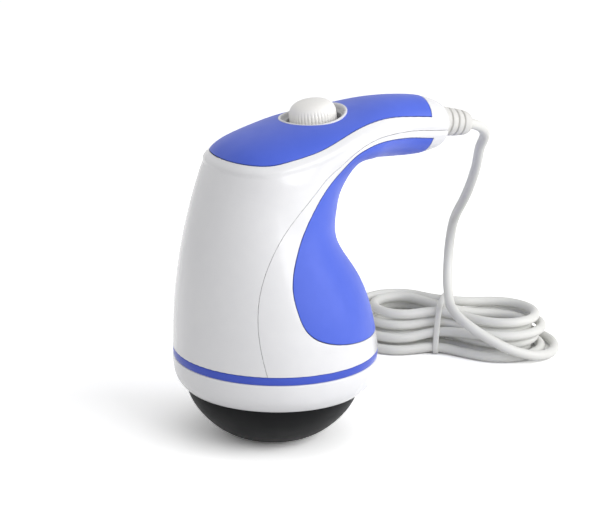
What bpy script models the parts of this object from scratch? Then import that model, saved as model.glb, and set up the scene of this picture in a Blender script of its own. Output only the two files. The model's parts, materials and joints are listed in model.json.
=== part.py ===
# Hand-held massager: an upright body that bends over into a handle, a speed dial on top,
# a domed head that orbits below, and a mains cord that lies beside it in a tied hank.
# Lengths are in metres, +Z is up, and the handle points along +X.
# The origin is the middle of the small flat under the domed head.

import bpy
import bmesh
import math
import numpy as np
from mathutils import Vector, Matrix

for thing in list(bpy.data.objects):
    bpy.data.objects.remove(thing, do_unlink=True)

# General fits
gap = 0.0003
pocket_gap = 0.0005
seam_gap = 0.0006
full_turn = 2 * math.pi
half_turn = math.pi
screw_sides = 8
boss_sides = 10
post_sides = 16
deg = math.pi / 180

# Body outline, fourteen stations from the stripe up and over to the end of the handle.
# The lowest three follow the radius of the stripe.
stripe_radius = 0.0650
front_foot_shares = [1.0, 0.9923, 0.9615]
rear_foot_shares = [1.0, 0.9277, 0.7831]
side_foot_shares = [1.0, 0.9815, 0.8692]
front_foot_heights = [0.0593, 0.0850, 0.1150]
rear_foot_heights = [0.0593, 0.0805, 0.1053]
front_curve = [(-stripe_radius * share, high)
               for share, high in zip(front_foot_shares, front_foot_heights)]
front_curve += [(-0.0565, 0.1450),
                (-0.0495, 0.1685), (-0.0418, 0.1838), (-0.0305, 0.1927), (-0.0105, 0.1992),
                (0.0135, 0.2047), (0.0395, 0.2083), (0.0650, 0.2120), (0.0900, 0.2120),
                (0.1080, 0.2090), (0.1195, 0.2040)]
rear_curve = [(stripe_radius * share, high) for share, high in zip(rear_foot_shares, rear_foot_heights)]
rear_curve += [(0.0360, 0.1280),
               (0.0350, 0.1460), (0.0370, 0.1565), (0.0405, 0.1637), (0.0433, 0.1697),
               (0.0480, 0.1747), (0.0567, 0.1753), (0.0665, 0.1747), (0.0850, 0.1733),
               (0.1020, 0.1734), (0.1150, 0.1762)]
half_width = [stripe_radius * share for share in side_foot_shares]
half_width += [0.0485, 0.0447, 0.0436, 0.0422, 0.0415,
               0.0403, 0.0365, 0.0295, 0.0212, 0.0192, 0.0180]
front_power = [2.0, 2.0, 2.0, 2.1, 2.2, 2.4, 2.4, 2.3, 2.2, 2.15, 2.1, 2.1, 2.1, 2.1]
rear_power = [2.0, 2.0, 2.0, 2.0, 2.0, 2.0, 2.0, 2.0, 2.0, 2.0, 2.0, 2.05, 2.1, 2.1]
last_station = len(half_width) - 1

# Shells
wall = 0.0034
end_round = 0.0035
round_start_share = 0.975
end_hole_radius = 0.0080
end_hole_lift = 0.0022
seam_angles = [56, 52, 56, 71, 88, 98, 101, 101, 95, 84, 87, 90, 91.5, 92]
shell_rows = 18
shell_columns = 12
rear_columns = 14
probe_share = 0.002
tip_share = 0.004
row_power = 1.5

# Blue panels let into the shells
panel_thickness = 0.0013
panel_proud = 0.0002
top_start_share = 0.3932
top_end_share = 0.902
top_angles = [20, 40, 55, 60, 62, 67.6, 59.6, 63.6, 61.6, 52.9, 55.1, 62.5, 63.5, 64]
top_nose_share = 0.119
top_nose_power = 2.13
top_rows = 14
top_columns = 8
grip_start_share = 0.0454
grip_end_share = 0.919
grip_angles = [106.2, 101.5, 104, 92, 80, 73, 70, 72, 79, 87, 82, 76.5, 72, 72]
grip_nose_share = 0.0767
grip_nose_power = 3.47
grip_rows = 17
grip_columns = 10

# Dial seat, dial and speed control, all square to the sloping top
dial_place = Vector((0.0245, 0, 0.2057))
dial_slope = 9.3 * deg
rim_radius = 0.0218
rim_inner = 0.0204
well_radius = 0.0197
bezel_radius = 0.0206
bezel_depth = 0.0080
bezel_floor = 0.0015
rim_height = 0.0011
rim_lift = 0.0005
bezel_hole = 0.0050
drape_radius = 0.1136
dial_segments = 40
knob_radius = 0.0148
knob_low = -0.0052
knob_high = 0.0093
knob_rows = [(0.0148, 0.0018), (0.0142, 0.0036), (0.0125, 0.0060), (0.0090, 0.0081), (0.0044, 0.0091)]
knob_rib_shares = [1, 1, 0.3, 0, 0]
knob_ribs = 32
rib_depth = 0.0005
knob_shaft = 0.0030
shaft_low = -0.0130
pot_radius = 0.0085
pot_top = -0.0088
pot_low = -0.0162
board_top = -0.0166
board_thickness = 0.0016
board_length = 0.052
board_width = 0.036
post_radius = 0.0028
post_hole = 0.0014
post_along = 0.0215
post_across = 0.0145
post_tops = [-0.0034, -0.0041]
board_screw_radius = 0.0011
board_screw_head = 0.0022
screw_head_height = 0.0015
post_bore_depth = 0.0075
board_screw_reach = 0.0065

# Stripe, skirt and head below the shells
stripe_low = 0.0541
stripe_high = 0.0590
stripe_inner_share = 0.7538
stripe_inner = stripe_radius * stripe_inner_share
ring_segments = 48
skirt_shares = [1.0, 0.9985, 0.9877, 0.9662, 0.9323, 0.8954, 0.8800, 0.8846, 0.9231, 0.9415, 0.9415,
                stripe_inner_share, stripe_inner_share]
skirt_heights = [0.0538, 0.0490, 0.0440, 0.0400, 0.0368, 0.0345, 0.0345, 0.0385, 0.0430, 0.0490, 0.0508,
                 0.0508, 0.0538]
skirt_outline = [(stripe_radius * share, high) for share, high in zip(skirt_shares, skirt_heights)]
dome_shares = [0.1231, 0.2308, 0.3000, 0.3692, 0.4492, 0.5369, 0.6246, 0.7015, 0.7631, 0.8077, 0.8354,
               0.8446, 0.8446]
dome_heights = [0.00000, 0.00035, 0.00075, 0.00165, 0.00350, 0.00660, 0.01090, 0.01590, 0.02090,
                0.02580, 0.03050, 0.03550, 0.04050]
dome_outline = [(stripe_radius * share, high) for share, high in zip(dome_shares, dome_heights)]
dome_inner_shares = [0.8062, 0.8062, 0.6462, 0.6338, 0.5077, 0.2769, 0.0923]
dome_inner_heights = [0.0405, 0.0360, 0.0360, 0.0195, 0.0120, 0.0050, 0.0034]
dome_inside = [(stripe_radius * share, high)
               for share, high in zip(dome_inner_shares, dome_inner_heights)]

# Base plate, posts and screws
plate_share = 0.9200
plate_radius = stripe_radius * plate_share
plate_low = 0.0594
plate_high = 0.0624
plate_lip = 0.0085
bearing_outer = 0.0110
bearing_inner = 0.0043
bearing_low = 0.0628
bearing_high = 0.0698
boss_radius = 0.0145
boss_high = 0.0706
stand_high = 0.0738
base_screw_inset = 0.0090
base_screw_ring = stripe_radius - base_screw_inset
base_screw_angles = [40, 140, 220, 320]
base_screw_radius = 0.0018
base_screw_head = 0.0036
base_screw_low = 0.0478
base_screw_high = 0.0690
base_hole = 0.0022
base_boss_radius = 0.0064
base_boss_low = 0.0630
base_boss_high = 0.0702
boss_slack = 0.001
base_head_height = 0.0025
post_ring = 0.0380
guide_radius = 0.0030
guide_low = 0.0372
guide_high = 0.0650
guide_angles = [96, 216, 336]
guide_hole = 0.0034
guide_chamfer = 0.0010

# Motor
can_radius = 0.0258
can_wall = 0.0014
stand_inset = 0.0033
stand_inner = can_radius - stand_inset
stand_rim = 0.0004
stand_radius = can_radius + stand_rim
can_low = 0.0741
can_high = 0.1330
can_hole = 0.0110
can_step = 0.0080
can_step_radius = can_hole + can_step
magnet_clear = 0.0004
magnet_depth = 0.0034
magnet_outer = can_radius - can_wall - magnet_clear
magnet_inner = magnet_outer - magnet_depth
magnet_rise = 0.0059
magnet_low = can_low + magnet_rise
magnet_drop = 0.0150
magnet_high = can_high - magnet_drop
magnet_half_angle = 62
magnet_steps = 10
bell_reach = 0.0110
end_bell_high = can_high + bell_reach
bell_seat = 0.0004
end_bell_low = can_high + bell_seat
end_bell_wall = 0.0020
bell_lip = 0.0012
bell_floor = 0.0022
bell_step = 0.0015
bell_crown = 0.0010
brush_drop = 0.0018
brush_high = can_high - brush_drop
brush_length = 0.0050
brush_low = brush_high - brush_length
brush_in = 0.0094
holder_clear = 0.0058
holder_out = can_radius - holder_clear
brush_back = 0.0030
brush_out = holder_out - brush_back
brush_half = 0.0024
holder_gap = 0.0003
holder_wall = 0.0008
upper_outer = 0.0095
upper_inner = 0.0043
upper_rise = 0.0035
upper_low = can_high + upper_rise
upper_length = 0.0050
upper_high = upper_low + upper_length
shaft_radius = 0.0040
rotor_low = 0.0494
rotor_reach = 0.0280
rotor_high = can_high + rotor_reach
sleeve = 0.0043
air_gap = 0.0014
core_radius = magnet_inner - air_gap
core_root = 0.0100
core_rise = 0.0109
core_low = can_low + core_rise
core_drop = 0.0180
core_high = can_high - core_drop
core_slots = 12
slot_share = 0.16
winding_cover = 0.0027
winding_outer = core_radius - winding_cover
winding_inner_share = 0.485
winding_inner = winding_outer * winding_inner_share
winding_length = 0.0052
winding_round = 0.0015
commutator_radius = 0.0090
commutator_length = 0.0090
commutator_high = can_high
commutator_low = commutator_high - commutator_length
fan_rise = 0.0148
fan_low = can_high + fan_rise
fan_length = 0.0102
fan_high = fan_low + fan_length
fan_hub = 0.0090
fan_clear = 0.0033
fan_radius = can_radius - fan_clear
fan_disc = 0.0014
fan_cone = 0.0010
blade_low = 0.0024
blade_clear = 0.0006
blade_in_from_rim = 0.0004
fan_blades = 9
blade_thickness = 0.0012
blade_in = 0.0070
motor_segments = 24

# Orbit drive
orbit = -0.0015
hub_radius = 0.0120
hub_low = 0.0494
hub_high = 0.0580
hub_floor = 0.0030
pin_radius = 0.0050
pin_low = 0.0372
weight_inner = 0.0124
weight_outer = 0.0320
weight_low = 0.0500
weight_high = 0.0570
weight_half_angle = 80
weight_steps = 14
orbit_bearing_inner = 0.0053
orbit_bearing_outer = 0.0095
orbit_bearing_low = 0.0386
orbit_bearing_high = 0.0438
carrier_share = 0.8000
carrier_radius = stripe_radius * carrier_share
carrier_low = 0.0363
carrier_high = 0.0395
carrier_boss = 0.0140
carrier_boss_high = 0.0452
carrier_bore = 0.0098
carrier_slot = 0.0050
carrier_screw_ring_share = 0.7108
carrier_screw_ring = stripe_radius * carrier_screw_ring_share
carrier_screw_angles = [33, 153, 273]
carrier_screw_radius = 0.0015
carrier_screw_head = 0.0030
carrier_screw_hole = 0.0019
carrier_screw_head_height = 0.0018
carrier_screw_low = 0.0290
carrier_bore_low = 0.0284

# Strain relief and what is inside the handle
relief_axis_start = Vector((0.1172, 0, 0.1922))
relief_tilt = 9.2 * deg
relief_segments = 24
relief_outline = [(0.0, -0.0075), (0.0090, -0.0075), (0.0090, -0.0043), (0.0076, -0.0043),
                  (0.0076, 0.0005), (0.0100, 0.0005), (0.0095, 0.0068), (0.0076, 0.0071),
                  (0.0076, 0.0080), (0.0092, 0.0083), (0.0091, 0.0121), (0.0074, 0.0124),
                  (0.0073, 0.0133), (0.0089, 0.0136), (0.0086, 0.0172), (0.0071, 0.0175),
                  (0.0070, 0.0183), (0.0084, 0.0186), (0.0076, 0.0228), (0.0065, 0.0252),
                  (0.0, 0.0252)]
clamp_place = Vector((0.0975, 0, 0.1920))
clamp_size = (0.012, 0.026, 0.0062)
clamp_groove = 0.0040
clamp_across = 0.0080
clamp_post_radius = 0.0027
clamp_post_low = 0.1954
clamp_post_high = 0.2061
clamp_hole = 0.0017
clamp_hole_high = 0.2020
clamp_screw_radius = 0.0013
clamp_screw_head = 0.0026
clamp_screw_head_height = 0.0016
clamp_screw_high = 0.2010
cord_radius = 0.0035

# Cord: the hank lies behind and to the right as seen from the front left corner.
# Its own axes run along the runs and across them, from the middle of the tie.
hank_turn = -42 * deg
hank_right = 0.0804
hank_away = 0.1990
turns_start_share = 0.104
turns_end_share = 6.75
pitch = 0.0100
fold_base = 0.0160
waist_base = 0.0030
waist_widening_share = 1.07
right_centre = 0.0420
left_centre = 0.0290
layer_step = 0.0077
cord_floor = 0.0036
arc_share = 0.292
run_share = 0.208
arc_points = 7
run_points = 5
offset_turn_shares = [0.25, 2.25, 2.75, 3.75, 4.25, 5.25, 5.75, 6.75]
offset_shares = [2.5, 0.5, 0.5, 1.5, 1.5, 0.5, 0.5, 1.5]
start_height = 0.0150
start_fall_share = 0.125
start_slope_share = 0.544
tie_lift = 0.0013
tie_reach = 0.020
tail_straight = 0.007
tail_length = 0.064
tail_points = 7
tail_right = 0.0090
tail_height = 0.0070
gap_parts = 6
near_share = 5

# The free lead, from the strain relief down to the start of the hank
lead_route = [(0.1426, 0.0000, 0.1881), (0.1496, 0.0007, 0.1863), (0.1582, 0.0044, 0.1820),
              (0.1647, 0.0106, 0.1759), (0.1675, 0.0167, 0.1703), (0.1694, 0.0225, 0.1642),
              (0.1728, 0.0285, 0.1575), (0.1760, 0.0340, 0.1508), (0.1788, 0.0397, 0.1440),
              (0.1812, 0.0455, 0.1371), (0.1834, 0.0513, 0.1302), (0.1854, 0.0573, 0.1234),
              (0.1875, 0.0635, 0.1169), (0.1896, 0.0701, 0.1107), (0.1920, 0.0769, 0.1047),
              (0.1942, 0.0833, 0.0984), (0.1963, 0.0889, 0.0913), (0.1979, 0.0929, 0.0831),
              (0.1987, 0.0955, 0.0742), (0.1985, 0.0959, 0.0649), (0.1969, 0.0939, 0.0560),
              (0.1941, 0.0896, 0.0483), (0.1907, 0.0833, 0.0425), (0.1865, 0.0759, 0.0386),
              (0.1831, 0.0684, 0.0365), (0.1818, 0.0582, 0.0329), (0.1845, 0.0486, 0.0283)]
lead_points = 38

# Tie round the waist of the hank
tie_width = 0.005
tie_thickness = 0.0010
tie_clear = 0.0004
tie_corners = 32

# Two-pin plug on the far end of the cord
plug_sections = [(0.0, 0.0052, 0.0052), (0.008, 0.0058, 0.0056), (0.015, 0.0085, 0.0064),
                 (0.022, 0.0140, 0.0068), (0.028, 0.0168, 0.0069), (0.036, 0.0172, 0.0069)]
plug_power = 3.0
plug_corners = 20
pin_across = 0.0095
pin_radius_out = 0.0020
pin_reach = 0.019

# Leads inside the body
supply_ends = [(0.0350, -0.0172), (0.0268, -0.0174)]
supply_bend = [-0.0140, -0.0300]
motor_lead_radius = 0.0010
motor_lead_inset = 0.0013
motor_lead_out = can_radius - motor_lead_inset
motor_lead_bulge = 0.0003
motor_lead_route = [(0.0, motor_lead_out, 0.1378), (0.0, motor_lead_out + motor_lead_bulge, 0.1450),
                    (0.0020, motor_lead_out + motor_lead_bulge, 0.1530),
                    (0.0085, 0.0235, 0.1630), (0.0190, 0.0180, 0.1730), (0.0285, 0.0130, 0.1800),
                    (0.0314, 0.0125, 0.1877)]
motor_lead_points = 14

materials = {}


def material(name, colour, rough, metal=0.0):
    if name not in materials:
        made = bpy.data.materials.new(name)
        made.use_nodes = True
        shader = made.node_tree.nodes["Principled BSDF"]
        shader.inputs["Base Color"].default_value = (*colour, 1)
        shader.inputs["Roughness"].default_value = rough
        shader.inputs["Metallic"].default_value = metal
        made.diffuse_color = (*colour, 1)
        materials[name] = made
    return materials[name]


white_abs = ("white_abs", (0.86, 0.86, 0.88), 0.22, 0.0)
blue_abs = ("blue_abs", (0.10, 0.15, 0.68), 0.25, 0.0)
black_plastic = ("black_plastic", (0.010, 0.011, 0.013), 0.45, 0.0)
grey_nylon = ("grey_nylon", (0.30, 0.30, 0.31), 0.5, 0.0)
silver_plate = ("silver_plate", (0.62, 0.62, 0.64), 0.25, 0.8)
knob_white = ("knob_white", (0.84, 0.83, 0.81), 0.4, 0.0)
steel = ("steel", (0.52, 0.52, 0.53), 0.32, 1.0)
core_steel = ("core_steel", (0.20, 0.20, 0.21), 0.5, 0.9)
copper = ("copper", (0.72, 0.30, 0.15), 0.35, 1.0)
carbon = ("carbon", (0.03, 0.03, 0.03), 0.7, 0.0)
brass = ("brass", (0.72, 0.52, 0.20), 0.3, 1.0)
ferrite = ("ferrite", (0.05, 0.05, 0.055), 0.6, 0.0)
green_board = ("green_board", (0.03, 0.20, 0.08), 0.4, 0.0)
soft_pvc = ("soft_pvc", (0.80, 0.80, 0.80), 0.5, 0.0)
red_pvc = ("red_pvc", (0.50, 0.03, 0.03), 0.45, 0.0)


def store(name, corners, faces, look, smooth=False):
    mesh = bpy.data.meshes.new(name)
    mesh.from_pydata([tuple(c) for c in corners], [], [tuple(f) for f in faces])
    builder = bmesh.new()
    builder.from_mesh(mesh)
    bmesh.ops.recalc_face_normals(builder, faces=builder.faces)
    if builder.calc_volume(signed=True) < 0:
        bmesh.ops.reverse_faces(builder, faces=builder.faces)
    builder.to_mesh(mesh)
    builder.free()
    made = bpy.data.objects.new(name, mesh)
    bpy.context.scene.collection.objects.link(made)
    mesh.materials.append(material(*look))
    if smooth:
        mesh.shade_smooth()
    return made


def place(points, origin=None, tilt=0.0):
    # Turns points about Y by the tilt, then moves them to the origin.
    points = np.array(points, float)
    c, s = math.cos(tilt), math.sin(tilt)
    turned = np.stack([points[:, 0] * c + points[:, 2] * s, points[:, 1],
                       -points[:, 0] * s + points[:, 2] * c], -1)
    return turned if origin is None else turned + np.array(origin)


def turned(name, outline, segments, look, origin=None, tilt=0.0, sag_radius=1.0, sag_rows=(),
           smooth=False):
    # A closed outline of (radius, height) turned about Z; rows in sag_rows droop to both sides.
    corners, rings = [], []
    for row, (radius, height) in enumerate(outline):
        if radius == 0.0:
            rings.append([len(corners)])
            corners.append((0, 0, height))
            continue
        rings.append(list(range(len(corners), len(corners) + segments)))
        for k in range(segments):
            angle = full_turn * k / segments
            y = radius * math.sin(angle)
            droop = y * y / (2 * sag_radius) if row in sag_rows else 0.0
            corners.append((radius * math.cos(angle), y, height - droop))
    faces = []
    count = len(rings)
    for row in range(count):
        low, high = rings[row], rings[(row + 1) % count]
        if len(low) == 1 and len(high) == 1:
            continue
        for k in range(segments):
            n = (k + 1) % segments
            if len(low) == 1:
                faces.append((low[0], high[k], high[n]))
            elif len(high) == 1:
                faces.append((low[k], high[0], low[n]))
            else:
                faces.append((low[k], high[k], high[n], low[n]))
    return store(name, place(corners, origin, tilt), faces, look, smooth)


def tube_outline(inner, outer, low, high):
    return [(inner, low), (outer, low), (outer, high), (inner, high)]


def rod_outline(radius, low, high):
    return [(0.0, low), (radius, low), (radius, high), (0.0, high)]


def screw_outline(radius, head, low, head_top, high):
    return [(0.0, low), (head, low), (head, head_top), (radius, head_top), (radius, high), (0.0, high)]


def hung_screw_outline(radius, head, low, head_low, high):
    return [(0.0, low), (radius, low), (radius, head_low), (head, head_low), (head, high), (0.0, high)]


def prism_parts(outline, low, high):
    # Corners and faces of a flat outline drawn up from low to high.
    count = len(outline)
    corners = [(x, y, low) for x, y in outline] + [(x, y, high) for x, y in outline]
    faces = [tuple(range(count - 1, -1, -1)), tuple(range(count, 2 * count))]
    faces += [(k, (k + 1) % count, count + (k + 1) % count, count + k) for k in range(count)]
    return corners, faces


def box_parts(centre, size):
    (cx, cy, cz), (sx, sy, sz) = centre, size
    outline = [(cx - sx / 2, cy - sy / 2), (cx + sx / 2, cy - sy / 2),
               (cx + sx / 2, cy + sy / 2), (cx - sx / 2, cy + sy / 2)]
    return prism_parts(outline, cz - sz / 2, cz + sz / 2)


def turned_parts(outline, segments, centre):
    corners, rings, faces = [], [], []
    for radius, height in outline:
        if radius == 0.0:
            rings.append([len(corners)])
            corners.append((centre[0], centre[1], height))
        else:
            rings.append(list(range(len(corners), len(corners) + segments)))
            corners += [(centre[0] + radius * math.cos(full_turn * k / segments),
                         centre[1] + radius * math.sin(full_turn * k / segments), height)
                        for k in range(segments)]
    for low, high in zip(rings[:-1], rings[1:]):
        for k in range(segments):
            n = (k + 1) % segments
            if len(low) == 1:
                faces.append((low[0], high[n], high[k]))
            elif len(high) == 1:
                faces.append((low[k], low[n], high[0]))
            else:
                faces.append((low[k], low[n], high[n], high[k]))
    return corners, faces


def gather(name, pieces, look, origin=None, tilt=0.0):
    corners, faces = [], []
    for points, sides in pieces:
        base = len(corners)
        corners += list(points)
        faces += [tuple(base + i for i in side) for side in sides]
    return store(name, place(corners, origin, tilt), faces, look)


def each(name, pieces, look, origin=None, tilt=0.0):
    # The same kind of piece in several places, each its own object.
    return [gather(name + "_" + str(k + 1), [piece], look, origin, tilt)
            for k, piece in enumerate(pieces)]


def copies(outline, segments, spots):
    # The same turned outline at each of several spots.
    return [turned_parts(outline, segments, spot) for spot in spots]


def around(ring, angles):
    return [(ring * math.cos(a * deg), ring * math.sin(a * deg)) for a in angles]


def settle(made, spot):
    # Moves an object's origin to a spot while its faces stay in place.
    made.data.transform(Matrix.Translation(-spot))
    made.location = spot


def tube(name, points, radius, fineness, look):
    # A round tube with closed ends along a line of points.
    line = bpy.data.curves.new(name, "CURVE")
    line.dimensions = "3D"
    line.bevel_depth = radius
    line.bevel_resolution = fineness
    line.use_fill_caps = True
    spline = line.splines.new("POLY")
    spline.points.add(len(points) - 1)
    for point, spot in zip(spline.points, points):
        point.co = (*spot, 1)
    line.materials.append(material(*look))
    made = bpy.data.objects.new(name, line)
    bpy.context.scene.collection.objects.link(made)
    return made


def cutter(made):
    made.hide_render = True
    made.display_type = "WIRE"
    return made


def combine(target, tool, kind="DIFFERENCE"):
    change = target.modifiers.new(kind.title(), "BOOLEAN")
    change.operation = kind
    change.object = tool
    change.solver = "EXACT"


# The body surface
def bend_rates(values):
    # Second slopes of a natural cubic curve through evenly spaced values.
    values = np.array(values, float)
    count = len(values)
    system = np.eye(count) * 4
    system[0, 0] = system[-1, -1] = 1
    wanted = np.zeros_like(values)
    for k in range(1, count - 1):
        system[k, k - 1] = system[k, k + 1] = 1
        wanted[k] = 6 * (values[k - 1] - 2 * values[k] + values[k + 1])
    return np.linalg.solve(system, wanted)


def curve_at(values, share):
    # The natural cubic curve at a share of its whole run.
    values = np.array(values, float)
    rates = bend_rates(values)
    along = np.clip(np.asarray(share, float), 0, 1) * (len(values) - 1)
    k = np.minimum(along.astype(int), len(values) - 2)
    b = along - k
    a = 1 - b
    if values.ndim > 1:
        a, b = a[..., None], b[..., None]
    return (a * values[k] + b * values[k + 1]
            + ((a ** 3 - a) * rates[k] + (b ** 3 - b) * rates[k + 1]) / 6)


def straight_at(values, share):
    return np.interp(np.asarray(share, float), np.linspace(0, 1, len(values)), values)


def skin(share, angle):
    # A point of the outer surface. Up to 1 the share runs along the body, with the end
    # rounded over; from 1 to 2 it crosses the flat end face to the cord hole.
    share, angle = np.broadcast_arrays(np.asarray(share, float), np.asarray(angle, float))
    run = np.minimum(share, 1)
    front, rear = curve_at(front_curve, run), curve_at(rear_curve, run)
    middle, reach = (front + rear) / 2, (front - rear) / 2
    height = np.linalg.norm(reach, axis=-1)
    way = reach / height[..., None]
    width = curve_at(half_width, run)
    power = np.where(np.cos(angle) > 0, straight_at(front_power, run), straight_at(rear_power, run))
    c, s = np.cos(angle), np.sin(angle)
    stretch = (np.abs(c) ** power + np.abs(s) ** power) ** (-1 / power)
    ease = np.clip((run - round_start_share) / (1 - round_start_share), 0, 1)
    inset = end_round * (1 - np.sqrt(1 - ease ** 2))
    high = (height - inset) * stretch * c
    wide = (width - inset) * stretch * s
    blend = np.clip(share - 1, 0, 1)
    high = high * (1 - blend) + (end_hole_lift + end_hole_radius * c) * blend
    wide = wide * (1 - blend) + end_hole_radius * s * blend
    return np.stack([middle[..., 0] + way[..., 0] * high, wide,
                     middle[..., 1] + way[..., 1] * high], -1)


def outward(share, angle):
    # The unit normal of the surface, from points a small step away on every side.
    share, angle = np.broadcast_arrays(np.asarray(share, float), np.asarray(angle, float))
    along = skin(share + probe_share, angle) - skin(np.maximum(share - probe_share, 0), angle)
    across = skin(share, angle + probe_share) - skin(share, angle - probe_share)
    normal = np.cross(along, across)
    normal /= np.linalg.norm(normal, axis=-1)[..., None]
    start = share <= probe_share
    normal[start, 2] = 0
    normal[start] /= np.linalg.norm(normal[start], axis=-1)[..., None]
    return normal


def local_radius(share, angle):
    # How far a point moves across the surface for each radian of angle.
    step = skin(share, angle + probe_share) - skin(share, angle - probe_share)
    return np.linalg.norm(step, axis=-1) / (2 * probe_share)


def run_rate(share, angle):
    # How far a point moves along the surface for each unit of share.
    step = skin(share + probe_share, angle) - skin(share - probe_share, angle)
    return np.linalg.norm(step, axis=-1) / (2 * probe_share)


def patch(name, shares, low_angles, high_angles, columns, outer, inner, look):
    # A curved slab of the surface between two depths, bounded by two angles on each row.
    across = np.linspace(0, 1, columns + 1)
    share = np.repeat(np.array(shares)[:, None], columns + 1, 1)
    angle = low_angles[:, None] * (1 - across) + high_angles[:, None] * across
    base, normal = skin(share, angle), outward(share, angle)
    top = (base + normal * outer).reshape(-1, 3)
    under = (base - normal * inner).reshape(-1, 3)
    rows, wide = share.shape
    number = np.arange(rows * wide).reshape(rows, wide)
    deep = number + rows * wide
    faces = []
    for i in range(rows - 1):
        for j in range(wide - 1):
            for grid in (number, deep):
                a, b, c, d = grid[i, j], grid[i, j + 1], grid[i + 1, j + 1], grid[i + 1, j]
                faces += [(a, b, c), (a, c, d)] if 2 * j < columns else [(a, b, d), (b, c, d)]
    border = ([number[0, j] for j in range(wide)] + [number[i, -1] for i in range(1, rows)]
              + [number[-1, j] for j in range(wide - 2, -1, -1)]
              + [number[i, 0] for i in range(rows - 2, 0, -1)])
    for a, b in zip(border, border[1:] + border[:1]):
        faces += [(a, a + rows * wide, b + rows * wide), (a, b + rows * wide, b)]
    return store(name, np.vstack([top, under]), faces, look)


def shell_shares():
    body = np.linspace(0, round_start_share, shell_rows)
    quarter = np.sin(np.linspace(0, 1, 4)[1:] * half_turn / 2)
    rounding = round_start_share + (1 - round_start_share) * quarter
    return np.concatenate([body, rounding, [1.5, 2.0]])


shares = shell_shares()
seam = curve_at(seam_angles, np.minimum(shares, 1)) * deg
slack = seam_gap / 2 / local_radius(shares, seam)

front_shell = patch("front_shell", shares, -(seam - slack), seam - slack, shell_columns, 0, wall, white_abs)
rear_shell = patch("rear_shell", shares, seam + slack, full_turn - seam - slack, rear_columns, 0, wall,
                   white_abs)


def panel_angles(run, angles, start, nose_share, nose_power, margin, middle):
    # Half angle of a panel on each row, closing in at its rounded first end.
    close = np.clip((run - start) / nose_share, 0, 1)
    share = (1 - (1 - close) ** nose_power) ** (1 / nose_power)
    half = curve_at(angles, run) * deg * share
    radius = local_radius(run, half + middle)
    return half + margin / radius


def panel(name, start, end, angles, nose_share, nose_power, rows, columns, middle, margin,
          outer, inner, look):
    # The first rows lie closer together, where the outline turns fastest.
    spread = np.linspace(0, 1, rows + 1) ** row_power
    run = start + (end - start) * spread
    edge = margin / run_rate(run, middle)
    first = start - (end - start) * tip_share
    half = panel_angles(run, angles, first, nose_share, nose_power, margin, middle)
    run = run + edge * (2 * spread - 1)
    return patch(name, run, middle - half, middle + half, columns, outer, inner, look)


top_shape = (top_start_share, top_end_share, top_angles, top_nose_share, top_nose_power,
             top_rows, top_columns, 0.0)
grip_shape = (grip_start_share, grip_end_share, grip_angles, grip_nose_share, grip_nose_power,
              grip_rows, grip_columns, half_turn)
panel_depths = (0.0, panel_proud, panel_thickness)
pocket_depths = (gap, wall, panel_thickness + pocket_gap)
top_panel = panel("top_panel", *top_shape, *panel_depths, blue_abs)
top_pocket = cutter(panel("top_pocket", *top_shape, *pocket_depths, blue_abs))
grip_panel = panel("grip_panel", *grip_shape, *panel_depths, blue_abs)
grip_pocket = cutter(panel("grip_pocket", *grip_shape, *pocket_depths, blue_abs))
combine(front_shell, top_pocket)
combine(rear_shell, grip_pocket)

# Dial seat, knob and speed control
dial_tilt = -dial_slope
bezel_outline = [(bezel_hole, -bezel_depth), (bezel_radius, -bezel_depth), (bezel_radius, rim_lift),
                 (rim_radius, rim_lift), (rim_radius, rim_height), (rim_inner, rim_height),
                 (well_radius, -bezel_depth + 2 * bezel_floor), (knob_radius, -bezel_depth + bezel_floor),
                 (bezel_hole, -bezel_depth + bezel_floor)]
dial_bezel = turned("dial_bezel", bezel_outline, dial_segments, silver_plate, dial_place, dial_tilt,
                    drape_radius, (2, 3, 4, 5))
bezel_cut = cutter(turned("bezel_cut", rod_outline(bezel_radius + gap, -2 * bezel_depth, bezel_depth),
                          dial_segments, silver_plate, dial_place, dial_tilt))
rim_cut = cutter(turned("rim_cut", rod_outline(rim_radius + gap, -2 * bezel_depth, bezel_depth),
                        dial_segments, silver_plate, dial_place, dial_tilt))
combine(top_panel, rim_cut)
combine(front_shell, bezel_cut)


def knob_corners():
    # A low dome with ribs round its flank, closing below on the spindle.
    rows = [(knob_radius, knob_low, 1)]
    rows += [(radius, height, ribbed) for (radius, height), ribbed in zip(knob_rows, knob_rib_shares)]
    segments = 2 * knob_ribs
    corners, faces = [], []
    for radius, height, ribbed in rows:
        for k in range(segments):
            r = radius - rib_depth * ribbed * (k % 2)
            a = full_turn * k / segments
            corners.append((r * math.cos(a), r * math.sin(a), height))
    for row in range(len(rows) - 1):
        for k in range(segments):
            n = (k + 1) % segments
            faces.append((row * segments + k, row * segments + n, (row + 1) * segments + n,
                          (row + 1) * segments + k))
    base = len(corners)
    sides = segments // 4
    for radius, height in ((knob_shaft, knob_low), (knob_shaft, shaft_low)):
        corners += [(radius * math.cos(full_turn * k / sides), radius * math.sin(full_turn * k / sides),
                     height) for k in range(sides)]
    corners += [(0, 0, knob_high), (0, 0, shaft_low)]
    top, low = base + 2 * sides, base + 2 * sides + 1
    last = (len(rows) - 1) * segments
    for k in range(segments):
        n = (k + 1) % segments
        faces.append((last + k, last + n, top))
    for k in range(sides):
        n = (k + 1) % sides
        for step in range(4):
            faces.append((4 * k + step, base + k, (4 * k + step + 1) % segments))
        faces.append((base + k, base + n, (4 * k + 4) % segments))
        faces.append((base + k, base + sides + k, base + sides + n, base + n))
        faces.append((base + sides + n, base + sides + k, low))
    return corners, faces


knob_points, knob_faces = knob_corners()
dial_knob = store("dial_knob", place(knob_points, None, dial_tilt), knob_faces, knob_white)
dial_knob.location = dial_place

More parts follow.
